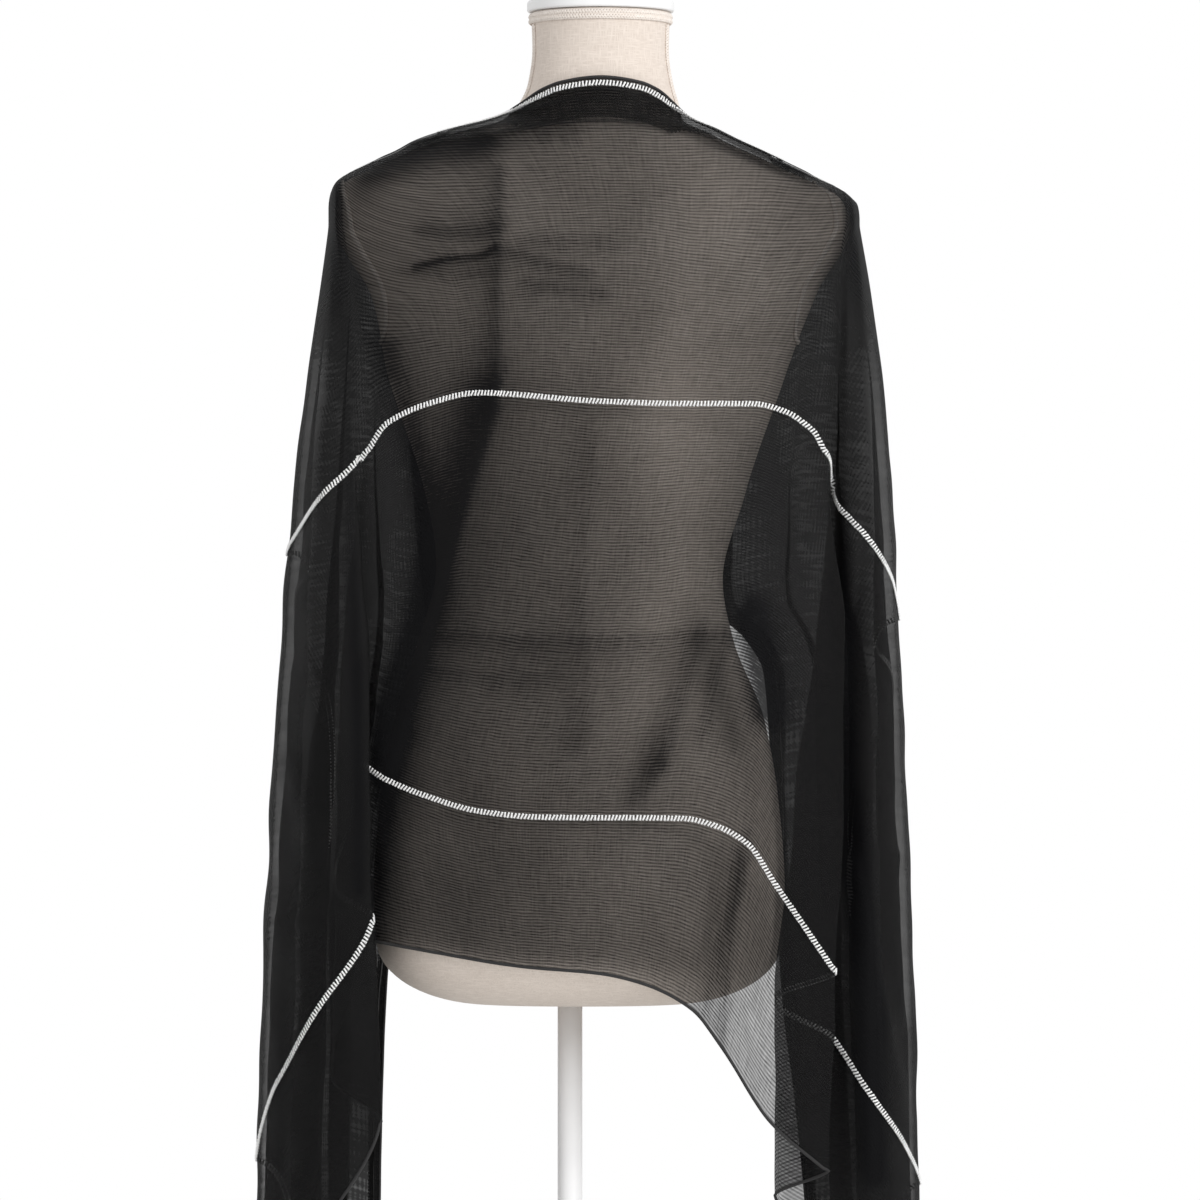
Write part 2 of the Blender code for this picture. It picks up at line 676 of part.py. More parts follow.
def side_columns(side):
    """Column places: at and beside each fold line, at each pleat's corners, and one at the
    cloth's corner."""
    step = side.knots[1]
    places = [0.0, EDGE_TURN * step, step / 2]
    for knot in side.knots[1:-1]:
        places += [knot - BESIDE_KNOT * step, knot, knot + BESIDE_KNOT * step, knot + step / 2]
    places.append(side.outline_at)
    pleats = range(FRONT_PLEATS)
    front = [(pleat + corner) / FRONT_PLEATS for pleat in pleats for corner in PLEAT_CORNERS]
    places += [side.outline_at + (1 - side.outline_at) * u for u in (*front, 1.0)]
    a = np.array(places)
    a[int(np.argmin(np.abs(a - side.corner())))] = side.corner()
    return a


def side_grid(side, edge):
    """Points of a side and their v, rows down and columns round it from the back's edge."""
    shares = (edge[0, 2] - edge[:, 2]) / (edge[0, 2] - edge[-1, 2])
    a = side_columns(side)
    heights = np.stack([side.heights(place, shares) for place in a], axis=1)
    v = np.empty_like(heights)
    for j, place in enumerate(a):
        z, widths, _ = side.column(place)
        v[:, j] = np.interp(-heights[:, j], -z, widths)
    points = side.surface(np.repeat(a[None, :], ROWS + 1, 0), heights)
    points[:, 0] = edge
    return points, v


class Cloth:
    """The whole shawl as one grid: rows down, and columns from the left front edge round the
    back to the right front edge."""

    def __init__(self):
        back, back_v = back_grid()
        left, left_v = side_grid(LEFT, back[:, 0])
        right, right_v = side_grid(RIGHT, back[:, -1])
        left_v[:, 0], right_v[:, 0] = back_v[:, 0], back_v[:, -1]
        self.points = np.concatenate([left[:, :0:-1], back, right[:, 1:]], axis=1)
        self.v = np.concatenate([left_v[:, :0:-1], back_v, right_v[:, 1:]], axis=1)
        self.places = (side_columns(LEFT), side_columns(RIGHT))
        first = len(self.places[0]) - 1
        self.seams = (first, first + BACK_COLUMNS)
        outlines = [np.sign(a - side.outline_at) for a, side in zip(self.places, (LEFT, RIGHT))]
        middle = -np.ones(BACK_COLUMNS + 1)
        self.faces_front = np.concatenate([outlines[0][:0:-1], middle, outlines[1][1:]])
        self.along = np.gradient(self.points, axis=1)
        self.down = np.gradient(self.points, axis=0)
        down, _ = mean_way(self.points, 0, np.zeros(3))
        across, corner = mean_way(self.points, 1, down)
        across[0], corner[0] = across[1], corner[1]
        self.normals = unit(np.cross(down, across)) * np.minimum(1 / corner, MOST_MITRE)

    def piece(self, first, last, seam_first, seam_last):
        """Points and normals of some columns, moved in by half a seam's gap from the ridge and,
        where asked, from their first and last column."""
        points = self.points[:, first : last + 1].copy()
        points[0] = moved_in(points[0], points[1])
        points[0, :, 1] += self.faces_front[first : last + 1] * RIDGE_GAP
        if seam_first:
            points[:, 0] = moved_in(points[:, 0], points[:, 1])
        if seam_last:
            points[:, -1] = moved_in(points[:, -1], points[:, -2])
        return points, self.normals[:, first : last + 1]

    def from_line(self, v):
        """How far each point lies from the line at v, measured on the cloth."""
        along, down = np.gradient(self.v, axis=1), np.gradient(self.v, axis=0)
        aa, ad, dd = (
            np.sum(self.along**2, axis=-1),
            np.sum(self.along * self.down, axis=-1),
            np.sum(self.down**2, axis=-1),
        )
        area = np.maximum(aa * dd - ad**2, 1e-12)
        slope = np.sqrt(np.maximum(dd * along**2 - 2 * ad * along * down + aa * down**2, 0) / area)
        return (self.v - v) / np.clip(slope, 0.5, 2.0)


def unit(vectors):
    return vectors / np.maximum(np.linalg.norm(vectors, axis=-1, keepdims=True), 1e-9)


def mean_way(points, axis, other_way):
    """The way along the grid at each point, half way between those of the two steps that meet
    there, seen square to the grid's other way. With it comes how much shorter than a step's own
    it is, which is less the sharper the corner."""
    steps = np.diff(points, axis=axis)
    first, last = np.take(steps, [0], axis=axis), np.take(steps, [-1], axis=axis)
    ways = []
    for ends in ((first, steps), (steps, last)):
        way = np.concatenate(ends, axis=axis)
        ways.append(unit(way - np.sum(way * other_way, axis=-1, keepdims=True) * other_way))
    mean = (ways[0] + ways[1]) / 2
    length = np.linalg.norm(mean, axis=-1, keepdims=True)
    return mean / np.maximum(length, 1e-6), np.maximum(length, 1e-6)


def moved_in(edge, inner):
    return edge + unit(inner - edge) * SEAM_GAP / 2


def walked(points, axis):
    """The distance walked from the grid's first row or column along its points."""
    steps = np.linalg.norm(np.diff(points, axis=axis), axis=-1)
    start = np.zeros_like(np.take(steps, [0], axis=axis))
    return np.concatenate([start, np.cumsum(steps, axis=axis)], axis=axis)


def material(name, colour, roughness, metallic=0.0, alpha=1.0):
    made = bpy.data.materials.new(name)
    made.use_nodes = True
    shader = made.node_tree.nodes["Principled BSDF"]
    shader.inputs["Base Color"].default_value = (*colour, 1)
    shader.inputs["Roughness"].default_value = roughness
    shader.inputs["Metallic"].default_value = metallic
    shader.inputs["Alpha"].default_value = alpha
    return made


def named_object(name, mesh, finish):
    mesh.materials.append(finish)
    mesh.shade_smooth()
    made = bpy.data.objects.new(name, mesh)
    PARTS.objects.link(made)
    return made


def grid_triangles(rows, columns):
    """Corner triples of a grid's triangles, facing out of the cloth."""
    index = np.arange(rows * columns).reshape(rows, columns)
    a, b, c, d = index[:-1, :-1], index[1:, :-1], index[1:, 1:], index[:-1, 1:]
    halves = [np.stack(corners, -1).reshape(-1, 3) for corners in ((a, b, c), (a, c, d))]
    return np.concatenate(halves)


def wall(name, points, normals, faces, inner, outer, finish):
    """A closed wall over the faces, between two distances from the points along their normals.
    Neighbours that share normals along a seam butt squarely, as Solidify's would not."""
    mesh = bmesh.new()
    lower = [mesh.verts.new(point + normal * inner) for point, normal in zip(points, normals)]
    upper = [mesh.verts.new(point + normal * outer) for point, normal in zip(points, normals)]
    edges = set()
    for face in faces:
        mesh.faces.new([upper[i] for i in face])
        mesh.faces.new([lower[i] for i in face[::-1]])
        edges.update(zip(face, (*face[1:], face[0])))
    for start, end in edges:
        if (end, start) not in edges:
            mesh.faces.new((upper[end], upper[start], lower[start], lower[end]))
    bmesh.ops.triangulate(mesh, faces=mesh.faces)
    data = bpy.data.meshes.new(name)
    mesh.to_mesh(data)
    mesh.free()
    return named_object(name, data, finish)


def cloth_wall(name, points, normals, finish):
    faces = [tuple(int(i) for i in face) for face in grid_triangles(*points.shape[:2])]
    return wall(name, points.reshape(-1, 3), normals.reshape(-1, 3), faces, -WALL / 2, WALL / 2, finish)


def cut_face(face, values, limit, side, cross):
    """The part of a face where side times the value is under the limit."""
    kept = []
    for start, end in zip(face, (*face[1:], face[0])):
        inside = side * values[start] < limit
        if inside:
            kept.append(start)
        if inside != (side * values[end] < limit):
            kept.append(cross(start, end, side * limit))
    return kept


def trim_wall(name, points, normals, values, finish):
    """A trim that lies on the cloth's own outer faces where the value, the distance from the
    trim's middle, is within half its width."""
    half = TRIM_WIDTH / 2
    shape = values.shape
    values = values.reshape(-1).copy()
    for edge in (-half, half):
        near = np.abs(values - edge) < TRIM_SNAP
        values[near] = edge + np.where(values[near] < edge, -TRIM_SNAP, TRIM_SNAP)
    points, normals = list(points.reshape(-1, 3)), list(normals.reshape(-1, 3))
    values = list(values)
    made = {}

    def cross(start, end, limit):
        low, high = min(start, end), max(start, end)
        key = (low, high, limit)
        if key not in made:
            w = (limit - values[low]) / (values[high] - values[low])
            made[key] = len(points)
            points.append(points[low] + (points[high] - points[low]) * w)
            normals.append(normals[low] + (normals[high] - normals[low]) * w)
            values.append(limit)
        return made[key]

    faces = []
    for face in grid_triangles(*shape):
        kept = cut_face([int(i) for i in face], values, half, 1, cross)
        if len(kept) > 2:
            kept = cut_face(kept, values, half, -1, cross)
        if len(kept) > 2:
            faces.append(tuple(kept))
    used = sorted({i for face in faces for i in face})
    place = {old: new for new, old in enumerate(used)}
    faces = [tuple(place[i] for i in face) for face in faces]
    inner = WALL / 2 + TRIM_LIFT
    wall(
        name,
        [points[i] for i in used],
        [normals[i] for i in used],
        faces,
        inner,
        inner + TRIM_THICKNESS,
        finish,
    )


def loft(name, rings, finish):
    """A closed solid through rings of points, each of the same count, with flat ends."""
    mesh = bmesh.new()
    made = [[mesh.verts.new(point) for point in ring] for ring in rings]
    for lower, upper in zip(made, made[1:]):
        count = len(lower)
        for i in range(count):
            j = (i + 1) % count
            mesh.faces.new((lower[i], lower[j], upper[j], upper[i]))
    mesh.faces.new(made[0][::-1])
    mesh.faces.new(made[-1])
    bmesh.ops.recalc_face_normals(mesh, faces=mesh.faces)
    data = bpy.data.meshes.new(name)
    mesh.to_mesh(data)
    mesh.free()
    return named_object(name, data, finish)


def build_cloth(cloth):
    crepe = material("black_crepe", CREPE, 0.75)
    first, last = cloth.seams
    end = cloth.points.shape[1] - 1
    cloth_wall("shawl_left_end", *cloth.piece(0, first, False, True), crepe)
    cloth_wall("shawl_back", *cloth.piece(first, last, True, True), crepe)
    cloth_wall("shawl_right_end", *cloth.piece(last, end, True, False), crepe)


def form_ring(z, shrink_x=1.0, shrink_y=1.0):
    angles = np.arange(FORM_SIDES) * 2 * math.pi / FORM_SIDES
    power = 2 / form_roundness(z)
    across, deep = np.cos(angles), np.sin(angles)
    x = form_middle(z) + shrink_x * form_half_width(z) * np.sign(across) * np.abs(across) ** power
    y = form_middle_depth(z) + shrink_y * form_half_depth(z) * np.sign(deep) * np.abs(deep) ** power
    return np.stack([x, y, np.full_like(x, z)], axis=-1)


def build_form():
    linen = material("linen", LINEN, 0.9)
    rings = []
    lowest = FORM_SECTIONS[-1][0] / 1000
    for angle in np.linspace(0, math.pi / 2, 7)[::-1][:-1]:
        shrink = [flat + (1 - flat) * math.cos(angle) for flat in FORM_BOTTOM_FLAT]
        ring = form_ring(lowest, *shrink)
        ring[:, 2] = lowest - (lowest - FORM_BOTTOM) * math.sin(angle)
        rings.append(ring)
    heights = [row[0] / 1000 for row in FORM_SECTIONS[::-1]]
    between = []
    for low, high in zip(heights, heights[1:]):
        count = max(1, round((high - low) / FORM_RING_STEP))
        between += list(np.linspace(low, high, count + 1)[:-1])
    rings += [form_ring(z) for z in (*between, heights[-1])]
    loft("form_torso", rings, linen)


def band(name, levels, finish):
    """A closed ring whose four edges are the levels, in order round its section."""
    mesh = bmesh.new()
    made = [[mesh.verts.new(point) for point in level] for level in levels]
    count = len(made[0])
    for k in range(4):
        for i in range(count):
            j = (i + 1) % count
            mesh.faces.new((made[k][i], made[k][j], made[(k + 1) % 4][j], made[(k + 1) % 4][i]))
    bmesh.ops.recalc_face_normals(mesh, faces=mesh.faces)
    data = bpy.data.meshes.new(name)
    mesh.to_mesh(data)
    mesh.free()
    return named_object(name, data, finish)


def turned(name, profile, finish, middle_x=0.0):
    """A turned solid from (radius, height) rows, from the bottom up."""
    angles = np.arange(FORM_SIDES) * 2 * math.pi / FORM_SIDES
    rings = []
    for radius, z in profile:
        rings.append(
            np.stack(
                [middle_x + radius * np.cos(angles), radius * np.sin(angles), np.full_like(angles, z)],
                axis=-1,
            )
        )
    return loft(name, rings, finish)


def build_stand():
    white = material("white_paint", WHITE, 0.35)
    neck_x, neck_radius = FORM_SECTIONS[0][1] / 1000, FORM_SECTIONS[0][2] / 1000
    cap_low = NECK_TOP + PIECE_GAP
    cap = neck_radius + 0.002
    turned(
        "neck_cap",
        [
            (cap, cap_low),
            (cap + 0.0015, cap_low + 0.002),
            (cap + 0.0015, cap_low + CAP_HEIGHT - 0.003),
            (cap - 0.002, cap_low + CAP_HEIGHT - 0.0006),
            (cap - 0.010, cap_low + CAP_HEIGHT),
        ],
        material("white_cap", CAP_WHITE, 0.5),
        neck_x,
    )
    inner = neck_radius + 0.0004
    outer = inner + BRAID_THICKNESS
    angles = np.arange(FORM_SIDES) * 2 * math.pi / FORM_SIDES
    ring = np.stack([np.cos(angles), np.sin(angles), np.zeros(FORM_SIDES)], axis=-1)
    low, high = NECK_TOP - 0.001 - BRAID_HEIGHT, NECK_TOP - 0.001
    levels = [
        ring * radius + np.array([neck_x, 0, z])
        for radius, z in ((inner, low), (outer, low), (outer, high), (inner, high))
    ]
    band("neck_braid", levels, material("linen_braid", LINEN, 0.9))
    pole_low, pole_high = BASE_HEIGHT + PIECE_GAP, FORM_BOTTOM - PIECE_GAP
    turned("pole", [(POLE_RADIUS, pole_low), (POLE_RADIUS, pole_high)], white)
    turned(
        "base",
        [
            (BASE_RADIUS - 0.002, 0.0),
            (BASE_RADIUS, 0.002),
            (BASE_RADIUS, 0.006),
            (BASE_RADIUS - 0.004, 0.010),
            (0.060, 0.014),
            (0.024, BASE_HEIGHT - 0.004),
            (0.020, BASE_HEIGHT),
        ],
        white,
    )


def build_trims(cloth):
    silver = material("silver_thread", SILVER, 0.45, 0.6)
    first, last = cloth.seams
    end = cloth.points.shape[1] - 1
    shown = [np.searchsorted(a, TRIM_STRETCH[side]) for a, side in zip(cloth.places, TRIM_STRETCH)]
    stretches = {
        "_left": (first - shown[0][1], first - shown[0][0]),
        "": (first, last),
        "_right": (last + shown[1][0], last + shown[1][1]),
    }
    for name, v in (("upper_trim", UPPER_TRIM_AT), ("lower_trim", LOWER_TRIM_AT)):
        from_line = cloth.from_line(v)
        for suffix, (low, high) in stretches.items():
            columns = slice(low, high + 1)
            trim_wall(
                name + suffix,
                cloth.points[:, columns],
                cloth.normals[:, columns],
                from_line[:, columns],
                silver,
            )
    points, normals = cloth.piece(first, last, False, False)
    across = points[0, :, 0]
    beyond = np.maximum(0, np.maximum(LEFT_CROSSING - across, across - RIGHT_CROSSING))
    from_edge = np.hypot(walked(points, 0), beyond)
    trim_wall("neck_trim", points, normals, from_edge - NECK_TRIM_AT, silver)
    for name, columns in (("left_front_trim", (0, first)), ("right_front_trim", (last, end))):
        points, normals = cloth.piece(*columns, False, False)
        inward = slice(None) if columns[0] == 0 else slice(None, None, -1)
        from_edge = walked(points[:, inward], 1)[:, inward]
        trim_wall(name, points, normals, from_edge - NECK_TRIM_AT, silver)


def clear_scene():
    for old in list(bpy.data.objects):
        bpy.data.objects.remove(old)


clear_scene()
PARTS = bpy.data.collections.new("draped_shawl")
bpy.context.scene.collection.children.link(PARTS)
build_form()
build_stand()
SHAWL = Cloth()
build_cloth(SHAWL)
build_trims(SHAWL)
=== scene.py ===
# Sheer black crepe shawl with silver lace, draped on a linen dress form on a white stand.
# Metres, z up. The form faces +y, so the camera looks at its back.
import math

import bpy
import numpy as np
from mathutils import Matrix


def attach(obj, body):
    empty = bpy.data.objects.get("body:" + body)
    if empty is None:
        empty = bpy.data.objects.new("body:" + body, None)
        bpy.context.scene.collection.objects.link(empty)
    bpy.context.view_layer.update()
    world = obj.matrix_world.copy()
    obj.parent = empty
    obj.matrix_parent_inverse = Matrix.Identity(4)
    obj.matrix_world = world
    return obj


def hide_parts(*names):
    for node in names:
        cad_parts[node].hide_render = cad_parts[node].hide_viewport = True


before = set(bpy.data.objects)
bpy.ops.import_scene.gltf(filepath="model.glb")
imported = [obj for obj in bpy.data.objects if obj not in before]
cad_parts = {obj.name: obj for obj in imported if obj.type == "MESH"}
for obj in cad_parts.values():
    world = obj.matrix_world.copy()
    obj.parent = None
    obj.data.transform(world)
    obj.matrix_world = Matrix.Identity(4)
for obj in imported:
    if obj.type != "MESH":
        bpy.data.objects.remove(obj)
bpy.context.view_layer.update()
print("frame loaded:", len(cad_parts), "solids")

# Camera, light and floor
view = {
    "place": (0.0255, -5.5, 1.0425),
    "sensor": 36,
    "width": 1.02,              # what the picture takes in at the pole
    "skyLight": 0.80,           # light from all round
    "skySeen": 1.0,             # the white behind the object
    "keyPlace": (2.6, -3.0, 2.6),
    "keyTarget": (0, 0, 1.1),
    "keySize": 1.6,
    "keyPower": 92,
    "floorSize": 4.0,
    "floorBelow": 0.0005,
    "floorColours": ((0.80, 0.80, 0.79), (0.86, 0.86, 0.85)),
}


def addObject(name, data):
    made = bpy.data.objects.new(name, data)
    bpy.context.scene.collection.objects.link(made)
    return made


def addCamera():
    camera = addObject("camera", bpy.data.cameras.new("camera"))
    camera.location = view["place"]
    camera.rotation_euler = (math.radians(90), 0, 0)
    camera.data.sensor_width = view["sensor"]
    camera.data.lens = view["sensor"] * -view["place"][1] / view["width"]
    bpy.context.scene.camera = camera
    bpy.context.scene.view_settings.view_transform = "Standard"


def addKeyLight():
    lamp = addObject("keyLight", bpy.data.lights.new("keyLight", "AREA"))
    lamp.data.shape = "DISK"
    lamp.data.size = view["keySize"]
    lamp.data.energy = view["keyPower"]
    lamp.location = view["keyPlace"]
    x, y, z = np.subtract(view["keyTarget"], view["keyPlace"])
    lamp.rotation_euler = (math.atan2(math.hypot(x, y), -z), 0, math.atan2(y, x) - math.pi / 2)


def addNode(owner, kind, inputs=None, **settings):
    # a node of a material or a world. Its inputs are values or other nodes' outputs.
    tree = owner.node_tree
    node = tree.nodes.new(kind)
    for key, value in settings.items():
        setattr(node, key, value)
    for key, value in (inputs or {}).items():
        if isinstance(value, bpy.types.NodeSocket):
            tree.links.new(value, node.inputs[key])
        else:
            node.inputs[key].default_value = value
    return node


def addWhiteWorld():
    world = bpy.data.worlds.new("whiteStudio")
    bpy.context.scene.world = world
    world.use_nodes = True
    world.node_tree.nodes.clear()
    light, seen = [
        addNode(world, "ShaderNodeBackground", {"Color": (1, 1, 1, 1), "Strength": view[which]})
        for which in ("skyLight", "skySeen")
    ]
    toCamera = addNode(world, "ShaderNodeLightPath").outputs["Is Camera Ray"]
    mixed = {"Fac": toCamera, 1: light.outputs[0], 2: seen.outputs[0]}
    mix = addNode(world, "ShaderNodeMixShader", mixed)
    addNode(world, "ShaderNodeOutputWorld", {"Surface": mix.outputs[0]})


addCamera()
addWhiteWorld()
addKeyLight()
print("camera and light placed")


class Finish:
    # a material, and the nodes that give its shader colour, roughness, cover and bumps
    def __init__(self, name, values, uvMap=None):
        self.material = bpy.data.materials.new(name)
        self.material.use_nodes = True
        self.shader = self.material.node_tree.nodes["Principled BSDF"]
        for socket, value in values.items():
            self.shader.inputs[socket].default_value = value
        if uvMap:
            self.where = self.node("ShaderNodeUVMap", uv_map=uvMap).outputs[0]
        else:
            self.where = self.node("ShaderNodeTexCoord").outputs["Object"]

    def node(self, kind, inputs=None, **settings):
        return addNode(self.material, kind, inputs, **settings)

    def noise(self, scale, detail=2.0):
        if not isinstance(scale, tuple):
            scale = (scale,) * 3
        mapped = self.node("ShaderNodeMapping", {"Vector": self.where, "Scale": scale})
        inputs = {"Vector": mapped.outputs[0], "Scale": 1.0, "Detail": detail}
        return self.node("ShaderNodeTexNoise", inputs).outputs["Fac"]

    def maths(self, operation, *values):
        return self.node("ShaderNodeMath", dict(enumerate(values)), operation=operation).outputs[0]

    def shaken(self, value, noise, most):
        # a value that a noise moves up and down
        return self.maths("MULTIPLY_ADD", self.maths("SUBTRACT", noise, 0.5), most, value)

    def ramp(self, value, low, high, fromLow=0.0, fromHigh=1.0):
        inputs = {
            "Value": value, "From Min": fromLow, "From Max": fromHigh,
            "To Min": low, "To Max": high,
        }
        return self.node("ShaderNodeMapRange", inputs).outputs["Result"]

    def feed(self, socket, output):
        self.material.node_tree.links.new(output, self.shader.inputs[socket])

    def tint(self, share, first, second):
        inputs = {"Factor": share, 6: (*first, 1), 7: (*second, 1)}
        self.feed("Base Color", self.node("ShaderNodeMix", inputs, data_type="RGBA").outputs[2])

    def bump(self, height, strength, distance):
        inputs = {"Height": height, "Strength": strength, "Distance": distance}
        self.feed("Normal", self.node("ShaderNodeBump", inputs).outputs[0])


# Small helpers for meshes
def newPiece(name, points, faces, finish):
    mesh = bpy.data.meshes.new(name)
    mesh.from_pydata(np.reshape(points, (-1, 3)).tolist(), [], faces)
    mesh.materials.append(finish)
    mesh.shade_smooth()
    return addObject(name, mesh)


def gridFaces(rows, columns):
    index = np.arange(rows * columns).reshape(rows, columns)
    corners = [index[:-1, :-1], index[1:, :-1], index[1:, 1:], index[:-1, 1:]]
    return np.stack(corners, -1).reshape(-1, 4).tolist()


def bandFaces(count, sides, start=0):
    # faces between rings of points, and the two rings that close the ends
    index = np.arange(count * sides).reshape(count, sides) + start
    after = np.roll(index, -1, axis=1)
    faces = np.stack([index[:-1], after[:-1], after[1:], index[1:]], -1).reshape(-1, 4).tolist()
    return faces, [index[0][::-1].tolist(), index[-1].tolist()]


def ringPiece(name, rings, finish):
    faces, ends = bandFaces(*np.shape(rings)[:2])
    return newPiece(name, rings, faces + ends, finish)


def unit(vectors):
    return vectors / np.maximum(np.linalg.norm(vectors, axis=-1, keepdims=True), 1e-9)


def tubePiece(name, paths, finish, sides):
    # paths are (points, normals, radius); every tube is closed at its ends
    angles = np.arange(sides) * 2 * math.pi / sides
    points, faces, start = [], [], 0
    for line, normals, radius in paths:
        along = unit(np.gradient(line, axis=0))
        up = unit(normals - along * np.sum(normals * along, -1, keepdims=True))
        ring = np.cross(along, up)[:, None] * np.cos(angles)[:, None]
        ring += up[:, None] * np.sin(angles)[:, None]
        points.append(line[:, None] + ring * np.broadcast_to(radius, len(line))[:, None, None])
        bands, ends = bandFaces(len(line), sides, start)
        faces += bands
        for fan in ends:
            for k in range(1, sides - 1, 2):
                corners = [fan[0], fan[k], fan[k + 1], fan[min(k + 2, sides - 1)]]
                faces.append(list(dict.fromkeys(corners)))
        start += len(line) * sides
    return newPiece(name, np.concatenate(points), faces, finish)


def evenSteps(line, step, normals):
    # the same line with points a step apart, with their normals and the way across it
    length = np.concatenate([[0], np.cumsum(np.linalg.norm(np.diff(line, axis=0), axis=1))])
    at = np.linspace(0, length[-1], max(2, int(round(length[-1] / step)) + 1))
    line, normals = [
        np.stack([np.interp(at, length, values[:, k]) for k in range(3)], -1)
        for values in (line, normals)
    ]
    return line, normals, unit(np.cross(normals, unit(np.gradient(line, axis=0))))


def addFloor():
    half, z = view["floorSize"] / 2, -view["floorBelow"]
    made = Finish("paleFloor", {"Roughness": 0.8})
    made.tint(made.noise(1.5), *view["floorColours"])
    corners = [(-half, -half, z), (half, -half, z), (half, half, z), (-half, half, z)]
    floor = newPiece("paleFloor", corners, [(0, 1, 2, 3)], made.material)


addFloor()

# The form's level sections: height, middle across, half width, middle of the depth, half depth,
# roundness (2 is an ellipse, more is squarer). Millimetres.
formSections = [
    (1541, 26, 59, 0, 59, 2.0), (1510, 26, 58, 0, 58, 2.0), (1480, 26, 62, 0, 60, 2.0),
    (1466, 25, 67, 0, 61, 2.0), (1456, 22, 72, -1, 61, 2.0), (1447, 19, 79, -1, 61, 2.0),
    (1436, 11, 111, -2, 62, 2.0), (1426, 6, 136, -3, 63, 2.0), (1416, 8, 157, -4, 65, 2.05),
    (1406, 6, 180, -5, 67, 2.1), (1396, 7, 200, -6, 70, 2.2), (1384, 15, 214, -6, 74, 2.3),
    (1357, 20, 219, -6, 83, 2.4), (1338, 20, 211, -7, 89, 2.4), (1306, 20, 191, -8, 95, 2.3),
    (1230, 14, 168, 4, 106, 2.2), (1133, 13, 136, 1, 93, 2.2), (1064, 8, 122, 0, 83, 2.2),
    (1008, 5, 134, -1, 91, 2.2), (941, 8, 157, -4, 102, 2.2), (872, 8, 169, -7, 108, 2.2),
    (804, 8, 174, -9, 110, 2.2), (754, 8, 172, -9, 109, 2.2),
]
# The shawl's top line seen from behind: across, height
topLine = [
    (-203, 1386), (-195, 1400), (-176, 1411), (-149, 1422), (-131, 1432), (-101, 1442),
    (-60, 1453), (-42, 1462), (-25, 1472), (-8, 1478), (26, 1482), (60, 1478), (75, 1472),
    (88, 1462), (100, 1452), (122, 1442), (142, 1432), (165, 1422), (186, 1412), (207, 1402),
    (232, 1390), (243, 1380),
]
# How far the top line lies behind the shoulders' ridge, by distance from the neck's middle
topLineBack = [
    (0, -65), (20, -62), (34, -57), (46, -49), (57, -37), (68, -20), (82, -8), (100, -2),
]
# Where the two lower laces and the hem run on the flat back: across, height
upperLaceLine = [
    (-168, 1176), (-157, 1187), (-119, 1206), (-76, 1215), (26, 1208), (94, 1206),
    (153, 1206), (182, 1199), (196, 1190), (206, 1181), (212, 1168),
]
lowerLaceLine = [
    (-172, 905), (-149, 891), (-119, 879), (-76, 867), (-25, 862), (94, 861),
    (123, 854), (149, 838), (170, 807), (196, 769), (221, 732),
]
hemLine = [
    (-174, 759), (-102, 747), (-42, 738), (26, 732), (60, 724), (102, 702),
    (128, 668), (166, 609), (214, 566),
]
# The middle of the back, and how deep the fronts' pleats are: height, depth
backDepthLine = [
    (1480, -66), (1440, -72), (1400, -84), (1350, -101), (1300, -108), (1220, -111),
    (1000, -113), (880, -121), (560, -124),
]
pleatDepthLine = [
    (1400, 0), (1300, 6), (1200, 13), (1100, 22), (1000, 31), (850, 40), (600, 46), (250, 48),
]
# The fold lines of each side in order round it: height, across, depth, and the share of the way
# down that lies across the cloth
leftFolds = [
    [(1360, -191, -40, 1), (1200, -168, -74, 1), (1080, -170, -77, 1), (1000, -172, -77, 1),
     (850, -173, -77, 1), (600, -174, -76, 1), (250, -176, -74, 1)],
    [(1360, -193, -39, 0.64), (1200, -173, -76, 0.64), (1080, -177, -60, 0.80),
     (1000, -182, -30, 0.87), (850, -186, 12, 0.89), (600, -190, 18, 0.87), (250, -192, 14, 0.84)],
    [(1360, -195, -37, 0.62), (1200, -178, -77, 0.62), (1080, -184, -75, 0.70),
     (1000, -191, -79, 0.77), (850, -197, -80, 0.81), (600, -199, -79, 0.81),
     (250, -200, -78, 0.80)],
    [(1360, -198, -34, 0.60), (1200, -184, -77, 0.60), (1080, -177, -87, 0.68),
     (1000, -169, -92, 0.75), (850, -168, -97, 0.78), (650, -160, -96, 0.78),
     (530, -158, -95, 0.77), (250, -166, -92, 0.75)],
    [(1360, -202, -20, 0.55), (1200, -204, -68, 0.56), (1080, -205, -81, 0.60),
     (1000, -209, -87, 0.64), (850, -214, -89, 0.69), (600, -217, -86, 0.69),
     (250, -222, -80, 0.68)],
    [(1360, -205, -4, 0.48), (1200, -226, -8, 0.48), (1080, -238, -8, 0.50),
     (1000, -244, -8, 0.53), (850, -254, -8, 0.57), (600, -264, -8, 0.59), (250, -271, -8, 0.60)],
]
